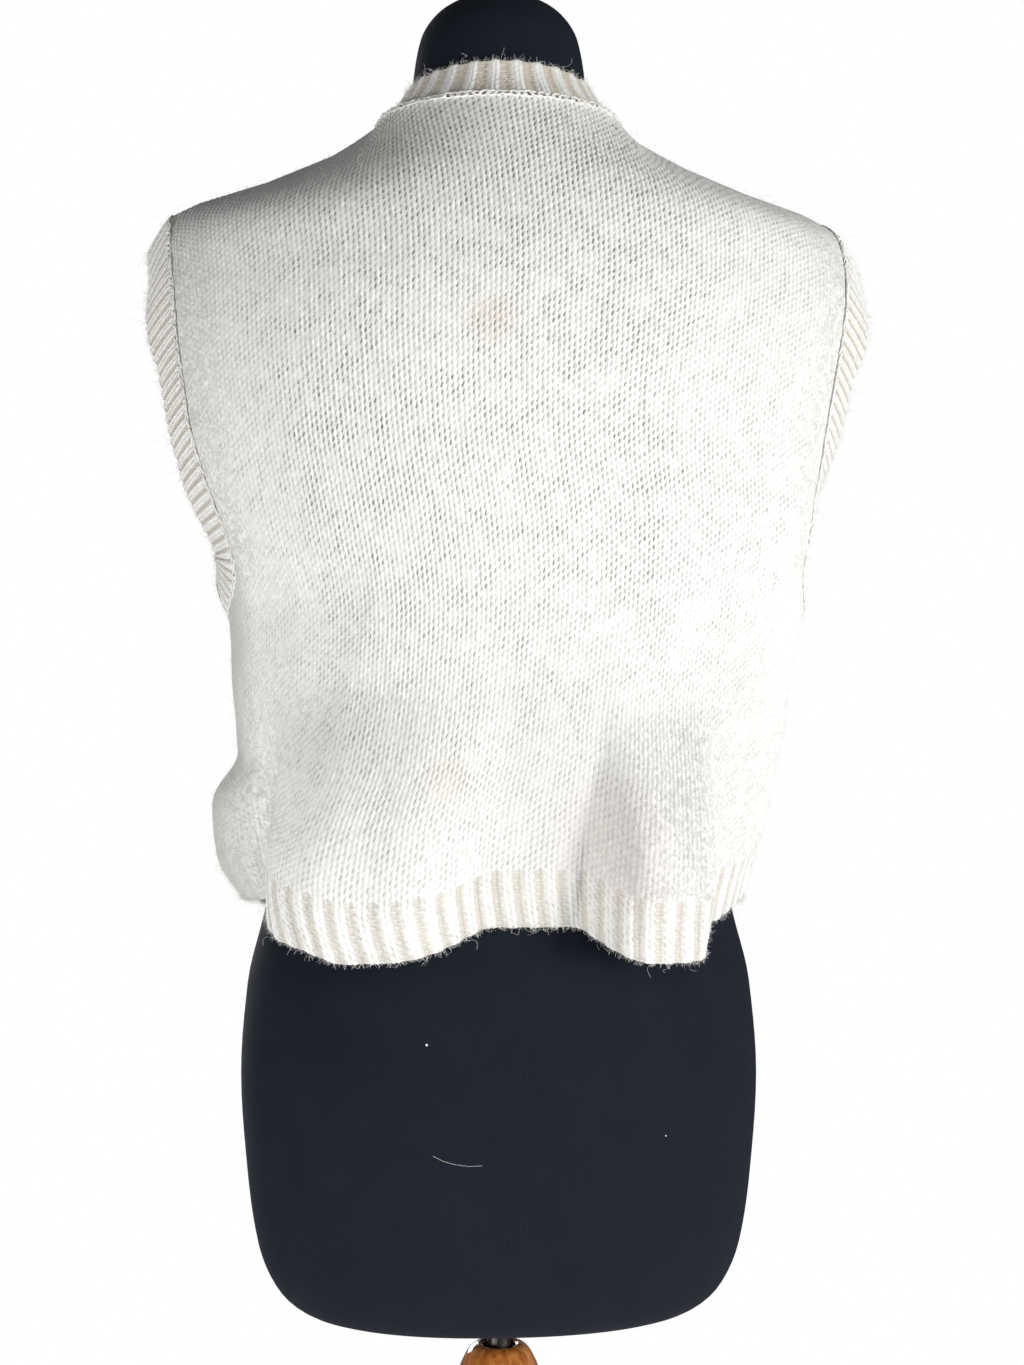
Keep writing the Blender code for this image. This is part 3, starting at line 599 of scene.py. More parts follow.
def makePanel(name, behind, seed):
    halfWales = cloth["halfWales"]
    columns = int(round(2 * halfWales * panel["columnsPerStitch"]))
    rows = cloth["courses"] * panel["rowsPerCourse"]
    column, row = np.meshgrid(np.arange(columns + 1), np.arange(rows + 1))
    wales = -halfWales + column / panel["columnsPerStitch"]
    flat = cloth["topFlat"] * row / rows
    edge = armholeEdge(flat)
    wales = np.clip(wales, -edge, edge)
    stitch = wales + halfWales
    wales = evenStitches(wales, flat, behind)
    wales[:, 0] = stitch[:, 0] - halfWales
    wales[:, -1] = stitch[:, -1] - halfWales
    top = topEdge(wales, behind)
    flat = np.minimum(flat, top)
    course = cloth["topFlat"] / cloth["courses"]
    inside = np.minimum(np.minimum(edge - np.abs(wales), (top - flat) / course), flat / course)
    taper = np.clip(inside, 0.0, 1.0)
    up, sideways = panelRelief(column, row, taper)
    uneven = np.random.default_rng(seed)
    soft = brushedAndShaded(wales, flat, behind)
    up = up * (1.0 + panel["uneven"] * uneven.standard_normal(up.shape).clip(-2, 2)) * (taper > 0)
    up *= 1.0 - panel["matted"] * soft
    sideways = sideways * (1.0 + 0.2 * uneven.standard_normal(up.shape).clip(-2, 2))

    places = (wales + sideways).ravel()
    heights = flat.ravel()
    outer, inner, n = clothPoints(places, heights, behind)
    outer = outer + n * up.ravel()[:, None]
    key = np.round(np.stack([wales.ravel(), heights], axis=1) * 1e6).astype(np.int64)
    _, first, shared = np.unique(key, axis=0, return_index=True, return_inverse=True)
    shared = first[shared.ravel()].reshape(rows + 1, columns + 1)

    step = panel["coarse"]
    far = outer.shape[0]
    faces = quads(shared) + [face[::-1] for face in quads(shared[::step, ::step] + far)]
    # the border: fine outside, coarse inside
    for line in (shared[0], shared[:, -1], shared[-1, ::-1], shared[::-1, 0]):
        for start in range(0, len(line) - 1, step):
            run = line[start:start + step + 1].tolist()
            faces.append(run[::-1] + [run[0] + far, run[-1] + far])
    faces = tidyFaces(faces)
    if behind:
        faces = [face[::-1] for face in faces]
    points = np.concatenate([outer, inner])
    uv = np.stack([(stitch + sideways).ravel(), heights / course], axis=1)
    uv = np.concatenate([uv, uv])
    used = np.unique(np.concatenate([np.array(face) for face in faces]))
    lookup = np.full(len(points), -1)
    lookup[used] = np.arange(len(used))
    faces = [lookup[face].tolist() for face in faces]
    soft = np.concatenate([soft.ravel(), np.zeros(len(inner))])[used]
    tone = np.concatenate([paintedShade(wales, flat, behind).ravel(), np.zeros(len(inner))])[used]
    marks = {"brushedAndShaded": soft, "paintedShade": tone, "furry": (used < far) * (0.25 + 0.75 * soft)}
    return makePiece(name, points[used], faces, uv[used], stockinette, marks)


backPanel = makePanel("backPanel", True, 3)
frontPanel = makePanel("frontPanel", False, 4)
print("panels knitted:", countTriangles(backPanel), "and", countTriangles(frontPanel), "triangles")

# ---- ribbed strips: hem ribs, neckband and armhole bands
rib = {
    "columnsPerStitch": 4,
    "strand": 0.00020,      # how far the strands of a knit column stand out
    "pebble": 0.00022,      # and the bumps of a purl one
    "matted": 0.8,
}
# the section of a strip: share of its width, share of its thickness
stripSection = [(0.0, 0.0)] + [(i / 16, 0.0) for i in range(1, 16)]
stripSection += [(0.965, 0.03), (0.988, 0.13), (1.0, 0.32), (1.0, 0.68), (0.988, 0.87), (0.965, 0.97)]
stripSection += [(i / 8, 1.0) for i in range(7, -1, -1)]


def makeStrip(name, line, stitches, courses, style, closed, soft, grey):
    # line gives, for a share of the strip's width, its points on the outside or the inside
    columns = stitches * rib["columnsPerStitch"] + (0 if closed else 1)
    along = np.arange(columns) / rib["columnsPerStitch"]
    along = along + style["spread"] * np.sin(math.pi * along)
    purl = (1.0 + np.cos(math.pi * along)) / 2
    strand = -np.cos(4 * math.pi * along)
    points = []
    uv = []
    furry = []
    for index, (share, deep) in enumerate(stripSection):
        out = line(share, False)
        into = line(share, True)
        away = unit(out - into)
        ahead = min(share + 0.02, 1.0)
        up = unit(line(ahead, False) - line(ahead - 0.02, False))
        turn = math.pi * deep
        facing = away * math.cos(turn) + up * math.sin(turn)
        taper = min(1.0, share * 9.0)
        beat = 1.0 if index % 2 == 0 else -1.0
        inGroove = purl if deep < 0.5 else 1.0 - purl       # knit columns are purl ones inside
        inGroove = inGroove ** style["groove"]
        lift = style["ridge"] * (1.0 - rib["matted"] * soft) * (0.5 - inGroove)
        lift = lift + strand * rib["strand"] * (1.0 - inGroove)
        lift = lift + beat * rib["pebble"] * inGroove
        points.append(out + (into - out) * deep + facing * (lift * taper)[:, None])
        furry.append(np.full(columns, 1.0 if share > 0.93 else 0.16 if deep < 0.5 else 0.03))
        depth = share if deep < 0.5 else 2.0 - share
        uv.append(np.stack([along, np.full(columns, depth * courses)], axis=1))
    points = np.array(points)
    uv = np.array(uv)
    rows = len(stripSection)
    grid = np.arange(rows * columns).reshape(rows, columns)
    wrapRows = np.vstack([grid, grid[:1]])
    faces = quads(np.hstack([wrapRows, wrapRows[:, :1]]) if closed else wrapRows)
    if not closed:
        faces.append(grid[::-1, 0].tolist())
        faces.append(grid[:, -1].tolist())
    marks = {"brushedAndShaded": np.broadcast_to(soft, (rows, columns)).ravel(),
             "paintedShade": np.broadcast_to(grey, (rows, columns)).ravel(), "furry": np.array(furry).ravel()}
    return makePiece(name, points.reshape(-1, 3), faces, uv.reshape(-1, 2), style["wool"], marks)


def turnOutwards(piece):
    # the strips are simple closed shells, so their signed volume tells which way they face
    corner = np.array([v.co[:] for v in piece.data.vertices])
    volume = 0.0
    for face in piece.data.polygons:
        ids = list(face.vertices)
        for i in range(1, len(ids) - 1):
            volume += np.dot(corner[ids[0]], np.cross(corner[ids[i]], corner[ids[i + 1]]))
    if volume < 0:
        piece.data.flip_normals()
        print("turned", piece.name)


# spread draws the strands of a knit column apart; the higher the groove, the narrower it is
hemStyle = {"ridge": 0.0011, "groove": 1.4, "spread": 0.0, "wool": hemWool}
neckStyle = {"ridge": 0.0013, "groove": 0.9, "spread": -0.10, "wool": neckWool}
armStyle = {"ridge": 0.0016, "groove": 1.6, "spread": 0.15, "wool": armWool}


hem = {"courses": 8, "matted": 0.9}


def makeHemRib(name, behind):
    stitches = int(2 * cloth["halfWales"])
    columns = stitches * rib["columnsPerStitch"] + 1
    wales = np.linspace(-cloth["halfWales"], cloth["halfWales"], columns)

    def line(share, wall):
        flat = np.full(columns, -cloth["hemDepth"] * share)
        places = evenStitches(wales, flat, behind)
        places[[0, -1]] = wales[[0, -1]]
        outer, inner, _ = clothPoints(places, flat, behind)
        return inner if wall else outer

    # fluff over the hem rib at the pouch; where it is thick, grey is painted there as shade
    soft = hem["matted"] * bump(wales - 41.0, 13.0) if behind else 0.0
    grey = paintedShade(wales, np.zeros(columns), behind)
    return makeStrip(name, line, stitches, hem["courses"], hemStyle, False, soft, grey)


# the neckband's grey is painted shade over the whole band
neck = {"ribs": 28, "hollow": 0.002, "courses": 7, "grey": 0.30}


def makeNeckband(name):
    stitches = neck["ribs"] * 2
    count = stitches * rib["columnsPerStitch"] // 2
    neckWales = cloth["neckWales"]
    wales = np.linspace(-neckWales, neckWales, count + 1)
    rings = []
    for behind in (True, False):
        seam, edge = neckLines(wales, behind)
        n, _ = seamNormals(wales, topEdge(wales, behind), behind)
        order = slice(0, -1) if behind else slice(None, 0, -1)
        rings.append([seam[order], edge[order], n[order]])
    seam = np.concatenate([rings[0][0], rings[1][0]])
    edge = np.concatenate([rings[0][1], rings[1][1]])
    n = np.concatenate([rings[0][2], rings[1][2]])
    seam[[0, count], 1] = 0.0
    n[[0, count]] = (n[[1, count + 1]] + n[[-1, count - 1]]) / 2
    up = unit(edge - seam)
    edgeN = unit(np.cross(up, np.roll(edge, -1, axis=0) - np.roll(edge, 1, axis=0)))
    start = seam + up * cloth["bandGap"]

    def line(share, wall):
        side = unit(n * (1.0 - share) + edgeN * share)
        place = start + (edge - start) * share - side * neck["hollow"] * math.sin(math.pi * share)
        return place - side * cloth["wall"] if wall else place

    piece = makeStrip(name, line, stitches, neck["courses"], neckStyle, True, 0.0, neck["grey"])
    return piece, start, n


armband = {
    "ribs": 76,
    "width": 0.024,
    "curl": 0.0035,         # how far its free edge leans in
    "turns": {1: (0.42, 0.90), -1: (-0.65, 0.75)},     # how far it turns out, low down and high up
    "droop": 1.3,
    "tuck": 0.45,           # how much less it turns out right at the shoulder
    "tuckReach": 0.050,
    "under": 0.0018,        # its seam reaches this far past the panel's edge
    "lap": 0.0009,          # and stands this far above it
    "wider": 0.25,          # how much wider the band is a little below the shoulder
    "widest": 0.042,
    "widerReach": 0.046,
    "courses": 6,
    "matted": 0.22,
    # grey painted as shade over the armbands
    "grey": 0.12,
}


def armholeLoop(side, count):
    # evenly spaced places round the armhole edge, up the back and down the front; the way that
    # the cloth faces there, and the way out of the armhole's edge
    fine = np.linspace(0.0, 1.0, 400) ** 1.5
    flat = cloth["underarmFlat"] + (cloth["topFlat"] - cloth["underarmFlat"]) * fine
    halves = []
    for behind in (True, False):
        wales = side * armholeEdge(flat)
        length = lengthsAlong(folded(wales, flat, behind))
        at = np.linspace(0.0, length[-1], count // 2 + 1)
        flats = np.interp(at, length, flat)
        wales = side * armholeEdge(flats)
        halves.append((folded(wales, flats, behind), seamNormals(wales, flats, behind)[0]))
    points = np.concatenate([halves[0][0], halves[1][0][-2:0:-1]])
    n = np.concatenate([halves[0][1], halves[1][1][-2:0:-1]])
    for end in (0, count // 2):
        points[end, 1] = 0.0
    for _ in range(6):
        n = (np.roll(n, 1, axis=0) + 2 * n + np.roll(n, -1, axis=0)) / 4
    n = unit(n)
    run = np.roll(points, -2, axis=0) - np.roll(points, 2, axis=0)
    return points, n, unit(np.cross(n, run) * side)


def makeArmband(name, side):
    stitches = armband["ribs"] * 2
    points, n, out = armholeLoop(side, stitches * rib["columnsPerStitch"])
    start = points - out * armband["under"]
    below = points[:, 2] - points[:, 2].max()
    low, top = armband["turns"][side]
    high = bump(below, points[:, 2].max() - points[:, 2].min())
    turn = low + (top - low) * high
    turn *= 1.0 - armband["tuck"] * bump(below, armband["tuckReach"])
    out[:, 0] += side * turn
    out[:, 2] -= armband["droop"] * top * high
    out = unit(out)
    wider = armband["wider"] * bump(below + armband["widest"], armband["widerReach"])
    width = (armband["width"] * (1.0 + wider))[:, None]

    def line(share, wall):
        place = start + out * width * share - n * armband["curl"] * share ** 2
        place = place + n * armband["lap"] * (1.0 - share)
        return place - n * cloth["wall"] if wall else place

    piece = makeStrip(name, line, stitches, armband["courses"], armStyle, True,
                      armband["matted"], armband["grey"])
    return piece, start, n


hemRibBack = makeHemRib("hemRibBack", True)
hemRibFront = makeHemRib("hemRibFront", False)
neckRib, neckSeam, neckOut = makeNeckband("neckRib")
armbandLeft, leftSeam, leftOut = makeArmband("armbandLeft", 1)
armbandRight, rightSeam, rightOut = makeArmband("armbandRight", -1)
strips = [hemRibBack, hemRibFront, neckRib, armbandLeft, armbandRight]
for piece in strips + [backPanel, frontPanel]:
    turnOutwards(piece)
print("ribs and bands knitted:", sum(countTriangles(piece) for piece in strips), "triangles")


# ---- linking stitches along the seams, and stray fibres
def newTree(name, sockets):
    tree = bpy.data.node_groups.new(name, "GeometryNodeTree")
    tree.interface.new_socket("Geometry", in_out="OUTPUT", socket_type="NodeSocketGeometry")
    names = {}
    for label, kind in [("Geometry", "NodeSocketGeometry")] + sockets:
        names[label] = tree.interface.new_socket(label, in_out="INPUT", socket_type=kind).identifier
    return tree, names


def finishTree(tree, points, shape, rotation, grow, material):
    inputs = {"Points": points, "Instance": shape.outputs[0], "Rotation": rotation.outputs[0],
              "Scale": grow.outputs[1]}
    placed = addNode(tree, "GeometryNodeInstanceOnPoints", inputs)
    real = addNode(tree, "GeometryNodeRealizeInstances", {"Geometry": placed.outputs[0]})
    done = addNode(tree, "GeometryNodeSetMaterial", {"Geometry": real.outputs[0], "Material": material})
    end = addNode(tree, "NodeGroupOutput")
    tree.links.new(done.outputs[0], end.inputs[0])


def runTree(name, base, tree, names, values):
    modifier = base.modifiers.new(name, "NODES")
    modifier.node_group = tree
    for label, value in values.items():
        modifier[names[label]] = value
    bpy.context.view_layer.update()
    evaluated = base.evaluated_get(bpy.context.evaluated_depsgraph_get())
    mesh = bpy.data.meshes.new_from_object(evaluated)
    base.modifiers.remove(modifier)
    mesh.name = name
    mesh.shade_smooth()
    piece = bpy.data.objects.new(name, mesh)
    bpy.context.collection.objects.link(piece)
    return piece


chain = {
    "pitch": 0.0044,
    "length": 0.0062,
    "width": 0.0032,
    "yarn": 0.00070,
    "stand": 0.0005,        # how far it stands out from the seam
    "stopBelow": 0.010,     # how far below the shoulder the armhole chains end
}


def makeChainTree():
    kinds = [("Count", "NodeSocketInt"), ("Length", "NodeSocketFloat"), ("Width", "NodeSocketFloat"),
             ("Yarn", "NodeSocketFloat"), ("Seed", "NodeSocketInt")]
    tree, names = newTree("linkingChain", kinds)
    given = addNode(tree, "NodeGroupInput").outputs
    path = addNode(tree, "GeometryNodeMeshToCurve", {"Mesh": given["Geometry"]})
    even = addNode(tree, "GeometryNodeResampleCurve", {"Curve": path.outputs[0], "Count": given["Count"]})
    along = addNode(tree, "GeometryNodeInputTangent").outputs[0]
    out = addNode(tree, "GeometryNodeInputNamedAttribute", {"Name": "out"}, data_type="FLOAT_VECTOR")
    axes = {"Primary Axis": along, "Secondary Axis": out.outputs["Attribute"]}
    lie = addNode(tree, "FunctionNodeAxesToRotation", axes, primary_axis="X", secondary_axis="Z")
    tilt = addNode(tree, "FunctionNodeRandomValue", {"Seed": given["Seed"]}, data_type="FLOAT_VECTOR")
    tilt.inputs[0].default_value = (-0.30, -0.22, -0.30)
    tilt.inputs[1].default_value = (0.30, 0.22, 0.30)
    turn = addNode(tree, "FunctionNodeEulerToRotation", {0: tilt.outputs[0]})
    rotation = addNode(tree, "FunctionNodeRotateRotation", {0: lie.outputs[0], 1: turn.outputs[0]},
                       rotation_space="LOCAL")
    loop = addNode(tree, "GeometryNodeCurvePrimitiveCircle", {"Resolution": 8, "Radius": 0.5})
    size = addNode(tree, "ShaderNodeCombineXYZ", {"X": given["Length"], "Y": given["Width"], "Z": 1.0})
    oval = addNode(tree, "GeometryNodeTransform", {"Geometry": loop.outputs[0], "Scale": size.outputs[0]})
    section = addNode(tree, "GeometryNodeCurvePrimitiveCircle", {"Resolution": 4, "Radius": given["Yarn"]})
    yarn = {"Curve": oval.outputs[0], "Profile Curve": section.outputs[0]}
    link = addNode(tree, "GeometryNodeCurveToMesh", yarn)
    sizes = {2: 0.85, 3: 1.2, "Seed": given["Seed"]}
    grow = addNode(tree, "FunctionNodeRandomValue", sizes, data_type="FLOAT")
    finishTree(tree, even.outputs[0], link, rotation, grow, linkYarn)
    return tree, names


def makeChain(name, tree, names, seam, out, seed, top):
    # only the links below the height top are made
    line = seam + out * chain["stand"]
    mesh = bpy.data.meshes.new(name + "Path")
    count = len(line)
    links = [(i, (i + 1) % count) for i in range(count)]
    links = [link for link in links if max(line[link[0], 2], line[link[1], 2]) < top]
    mesh.from_pydata([tuple(p) for p in line], links, [])
    attribute = mesh.attributes.new("out", "FLOAT_VECTOR", "POINT")
    attribute.data.foreach_set("vector", out.astype(np.float32).ravel())
    base = bpy.data.objects.new(name + "Path", mesh)
    bpy.context.collection.objects.link(base)
    length = np.linalg.norm(np.roll(line, -1, axis=0) - line, axis=1).sum()
    values = {"Count": int(length / chain["pitch"]), "Length": chain["length"], "Width": chain["width"],
              "Yarn": chain["yarn"], "Seed": seed}
    piece = runTree(name, base, tree, names, values)
    bpy.data.objects.remove(base)
    return piece


chainTree, chainNames = makeChainTree()
neckChain = makeChain("neckChain", chainTree, chainNames, neckSeam, neckOut, 11, math.inf)
leftTop = leftSeam[:, 2].max() - chain["stopBelow"]
rightTop = rightSeam[:, 2].max() - chain["stopBelow"]
leftChain = makeChain("armholeChainLeft", chainTree, chainNames, leftSeam, leftOut, 12, leftTop)
rightChain = makeChain("armholeChainRight", chainTree, chainNames, rightSeam, rightOut, 13, rightTop)
chains = [neckChain, leftChain, rightChain]
print("seams linked:", sum(countTriangles(piece) for piece in chains), "triangles")

fuzz = {
    # steps are for a whole turn of a fibre
    "fluff": {"thickness": 0.000055, "length": 0.0034, "tilt": 1.1, "turns": 0.35, "steps": 6},
    "curls": {"thickness": 0.000055, "length": 0.0085, "tilt": 1.4, "turns": 0.9, "steps": 9},
    "panelFluff": 30000.0,      # to a square metre
    "stripFluff": 680000.0,     # the strips' own amounts are thinned out but for their edges
    "panelCurls": 2600.0,
    "stripCurls": 42000.0,
}


def makeFuzzTree():
    kinds = [(label, "NodeSocketFloat") for label in ("Density", "Length", "Thickness", "Tilt", "Turns")]
    kinds += [("Steps", "NodeSocketInt"), ("Seed", "NodeSocketInt")]
    tree, names = newTree("strayFibres", kinds)
    given = addNode(tree, "NodeGroupInput").outputs
    share = addNode(tree, "GeometryNodeInputNamedAttribute", {"Name": "furry"}, data_type="FLOAT")
    density = times(tree, given["Density"], share.outputs["Attribute"])
    inputs = {"Mesh": given["Geometry"], "Density": density, "Seed": given["Seed"]}
    spots = addNode(tree, "GeometryNodeDistributePointsOnFaces", inputs, distribute_method="RANDOM")
    lean = times(tree, given["Tilt"], -1.0)
    least = addNode(tree, "ShaderNodeCombineXYZ", {"X": lean, "Y": lean, "Z": 0.0})
    most = addNode(tree, "ShaderNodeCombineXYZ", {"X": given["Tilt"], "Y": given["Tilt"], "Z": 6.28})
    tilt = addNode(tree, "FunctionNodeRandomValue", {0: least.outputs[0], 1: most.outputs[0]},
                   data_type="FLOAT_VECTOR")
    turn = addNode(tree, "FunctionNodeEulerToRotation", {0: tilt.outputs[0]})
    both = {0: spots.outputs["Rotation"], 1: turn.outputs[0]}
    rotation = addNode(tree, "FunctionNodeRotateRotation", both, rotation_space="LOCAL")
    bend = {"Resolution": given["Steps"], "Rotations": given["Turns"], "Start Radius": 0.05,
            "End Radius": 0.32, "Height": 0.80}
    hair = addNode(tree, "GeometryNodeCurveSpiral", bend)
    long = addNode(tree, "ShaderNodeCombineXYZ", {axis: given["Length"] for axis in "XYZ"})
    sized = addNode(tree, "GeometryNodeTransform", {"Geometry": hair.outputs[0], "Scale": long.outputs[0]})
    round3 = {"Resolution": 3, "Radius": given["Thickness"]}
    section = addNode(tree, "GeometryNodeCurvePrimitiveCircle", round3)
    thread = {"Curve": sized.outputs[0], "Profile Curve": section.outputs[0]}
    strand = addNode(tree, "GeometryNodeCurveToMesh", thread)
    grow = addNode(tree, "FunctionNodeRandomValue", {2: 0.35, 3: 1.3}, data_type="FLOAT")
    finishTree(tree, spots.outputs["Points"], strand, rotation, grow, fluffYarn)
    return tree, names


fuzzTree, fuzzNames = makeFuzzTree()
fuzzPieces = []
for number, piece in enumerate([backPanel, frontPanel] + strips):
    place = "strip" if piece in strips else "panel"
    for kind in ("Fluff", "Curls"):
        values = {key.capitalize(): value for key, value in fuzz[kind.lower()].items()}
        values["Density"] = fuzz[place + kind]
        values["Seed"] = 21 + number
        fuzzPieces.append(runTree(piece.name + kind, piece, fuzzTree, fuzzNames, values))
print("fibres:", [countTriangles(piece) for piece in fuzzPieces])

# ---- the dress form
torsoRows = [
    (-0.3880, 0.1000, 0.0600, 0.0600, 2.20), (-0.3850, 0.1190, 0.0790, 0.0790, 2.25),
    (-0.3720, 0.1370, 0.0945, 0.0940, 2.30), (-0.3440, 0.1495, 0.1060, 0.1050, 2.30),
    (-0.3000, 0.1560, 0.1120, 0.1100, 2.30), (-0.2400, 0.1600, 0.1150, 0.1120, 2.25),
    (-0.1850, 0.1560, 0.1110, 0.1080, 2.15), (-0.1450, 0.1465, 0.1040, 0.1020, 2.10),
    (-0.1000, 0.1360, 0.0970, 0.0950, 2.05), (-0.0500, 0.1270, 0.0900, 0.0900, 2.05),
    (0.0000, 0.1290, 0.0950, 0.1000, 2.05), (0.0500, 0.1420, 0.1060, 0.1160, 2.05),
    (0.1000, 0.1540, 0.1130, 0.1280, 2.05), (0.1400, 0.1620, 0.1145, 0.1260, 2.05),
    (0.1900, 0.1720, 0.1100, 0.1100, 2.05), (0.2300, 0.1800, 0.1030, 0.0950, 2.00),
    (0.2620, 0.1840, 0.0945, 0.0830, 2.00), (0.2800, 0.1800, 0.0875, 0.0740, 2.00),
    (0.2900, 0.1640, 0.0825, 0.0680, 2.00), (0.3040, 0.1310, 0.0730, 0.0610, 2.00),
    (0.3220, 0.0930, 0.0625, 0.0545, 2.00), (0.3380, 0.0690, 0.0560, 0.0510, 2.00),
    (0.3560, 0.0555, 0.0530, 0.0510, 2.00), (0.3800, 0.0530, 0.0520, 0.0510, 2.00),
    (0.4000, 0.0490, 0.0485, 0.0480, 2.00), (0.4130, 0.0410, 0.0405, 0.0400, 2.00),
    (0.4210, 0.0300, 0.0300, 0.0300, 2.00), (0.4240, 0.0200, 0.0200, 0.0200, 2.00),
]
torso = {"segments": 160, "stepsPerRow": 5}


def makeJersey(name):
    material, tree, place = newMaterial(name)
    stitch = addNode(tree, "ShaderNodeUVMap", uv_map="stitch").outputs["UV"]
    parts = addNode(tree, "ShaderNodeSeparateXYZ", {0: stitch})
    # fine vertical wales of the cover, 1.1 mm apart
    wale = calc(tree, "SINE", times(tree, parts.outputs["X"], 2.0 * math.pi / 0.0011))
    course = calc(tree, "SINE", times(tree, parts.outputs["Y"], 2.0 * math.pi / 0.0009))
    knit = calc(tree, "MULTIPLY_ADD", course, 0.35, wale)
    speck = noise(tree, place, 1600.0, 2.0, 0.6)
    mottle = noise(tree, place, 28.0, 3.0, 0.6)
    shades = (0.0040, 0.0062, 0.0118), (0.0056, 0.0084, 0.0150)
    colour = blendColour(tree, remap(tree, mottle, 0.3, 0.7, 0.0, 1.0), *shades)
    colour = blendColour(tree, remap(tree, knit, -1.3, 1.3, 0.0, 0.5), colour, (0.015, 0.019, 0.025))
    colour = blendColour(tree, remap(tree, speck, 0.74, 0.80, 0.0, 0.35), colour, (0.10, 0.10, 0.10))
    height = calc(tree, "MULTIPLY_ADD", knit, 0.5, speck)
    amounts = {"Roughness": 0.85, "Specular IOR Level": 0.12, "Sheen Weight": 0.01, "Sheen Roughness": 0.45}
    return finishMaterial(material, colour, height, 0.35, 0.0002, amounts)


def smoothProfile(rows, steps):
    # a smooth curve through the rows, that doesn't overshoot
    rows = np.array(rows, dtype=float)
    length = lengthsAlong(rows[:, :2])
    slope = np.diff(rows, axis=0) / np.diff(length)[:, None]
    tangent = np.zeros_like(rows)
    tangent[0] = slope[0]
    tangent[-1] = slope[-1]
    same = slope[:-1] * slope[1:] > 0
    mean = 2 * slope[:-1] * slope[1:] / np.where(same, slope[:-1] + slope[1:], 1.0)
    tangent[1:-1] = np.where(same, mean, 0.0)
    result = []
    for i in range(len(rows) - 1):
        span = length[i + 1] - length[i]
        for t in np.arange(steps) / steps:
            result.append(hermite(t, rows[i], span * tangent[i], rows[i + 1], span * tangent[i + 1]))
    result.append(rows[-1])
    return np.array(result)


def ringPiece(name, rings, material, spin):
    # a closed skin through rings, with its ends drawn together to a point
    rings = np.array(rings)
    rows, columns = rings.shape[:2]
    grid = np.arange(rows * columns).reshape(rows, columns)
    wrap = np.hstack([grid, grid[:, :1]])
    faces = quads(wrap)
    low = rows * columns
    points = np.concatenate([rings.reshape(-1, 3), rings[:1].mean(axis=1), rings[-1:].mean(axis=1)])
    faces += [[wrap[0, i + 1], wrap[0, i], low] for i in range(columns)]
    faces += [[wrap[-1, i], wrap[-1, i + 1], low + 1] for i in range(columns)]
    around = np.linspace(0.0, spin, columns, endpoint=False)
    uv = np.stack([np.tile(around, rows), rings[:, :, 2].ravel()], axis=1)
    uv = np.concatenate([uv, [[0.0, rings[0, 0, 2]], [0.0, rings[-1, 0, 2]]]])
    return makePiece(name, points, faces, uv, material, {})


def makeTorso(name, material):
    turn = np.arange(torso["segments"]) * 2 * math.pi / torso["segments"]
    c = np.cos(turn)
    s = np.sin(turn)
    rings = []
    for height, half, back, front, roundness in smoothProfile(torsoRows, torso["stepsPerRow"]):
        depth = np.where(s > 0, back, front)
        power = 2.0 / roundness
        x = half * np.sign(c) * np.abs(c) ** power
        y = depth * np.sign(s) * np.abs(s) ** power
        rings.append(np.stack([x, y, np.full_like(x, height + cloth["eye"])], axis=1))
    return ringPiece(name, rings, material, 0.9)


jersey = makeJersey("blackJersey")
formTorso = makeTorso("formTorso", jersey)
print("form covered:", countTriangles(formTorso), "triangles")

# ---- the stand
stand = {"segments": 96, "stepsPerRow": 5}
# height and radius: the post with the socket in its top, then the cap on the neck
postProfile = [
    (0.0303, 0.0520), (0.0400, 0.0480), (0.0600, 0.0330), (0.0950, 0.0225), (0.1050, 0.0270),
    (0.1150, 0.0290), (0.1250, 0.0270), (0.1350, 0.0215), (0.2300, 0.0225), (0.4300, 0.0195),
    (0.5900, 0.0160), (0.6040, 0.0170), (0.6080, 0.0210), (0.6140, 0.0225), (0.6200, 0.0210),
    (0.6240, 0.0165), (0.6280, 0.0180), (0.6380, 0.0230), (0.6520, 0.0268), (0.6660, 0.0271),
    (0.6770, 0.0248), (0.6840, 0.0218), (0.6890, 0.0188), (0.6920, 0.0150), (0.6925, 0.0125),
    (0.6917, 0.0105), (0.6785, 0.0105),
]
capProfile = [
    (0.0003, 0.0190), (0.0060, 0.0195), (0.0090, 0.0175), (0.0110, 0.0100), (0.0150, 0.0092),
    (0.0190, 0.0130), (0.0250, 0.0145), (0.0310, 0.0115), (0.0340, 0.0050),
]


def circle(radius, height, count):
    turn = np.arange(count) * 2 * math.pi / count
    return np.stack([radius * np.cos(turn), radius * np.sin(turn), np.full_like(turn, height)], axis=1)


def makeTurned(name, profile, base, material, steps):
    rings = []
    for height, radius in smoothProfile(profile, steps):
        rings.append(circle(radius, base + height, stand["segments"]))
    return ringPiece(name, rings, material, 0.15)


def makeWood(name, dark, mid, light, gloss, coat):
    material, tree, place = newMaterial(name)
    stretched = addNode(tree, "ShaderNodeMapping", {"Vector": place, "Scale": (1.0, 1.0, 0.06)}).outputs[0]
    grain = noise(tree, stretched, 260.0, 4.0, 0.65)
    broad = noise(tree, stretched, 38.0, 3.0, 0.6)
    pore = noise(tree, stretched, 1500.0, 2.0, 0.7)
    colour = blendColour(tree, remap(tree, grain, 0.32, 0.68, 0.0, 1.0), dark, mid)
    colour = blendColour(tree, remap(tree, broad, 0.42, 0.72, 0.0, 0.8), colour, light)
    colour = blendColour(tree, remap(tree, pore, 0.62, 0.72, 0.0, 0.5), colour, dark)
    height = calc(tree, "MULTIPLY_ADD", grain, 0.6, times(tree, pore, 0.4))
    amounts = {"Roughness": remap(tree, broad, 0.3, 0.7, gloss, gloss + 0.12),
               "Coat Weight": coat, "Coat Roughness": 0.06}
    return finishMaterial(material, colour, height, 0.12, 0.0004, amounts)


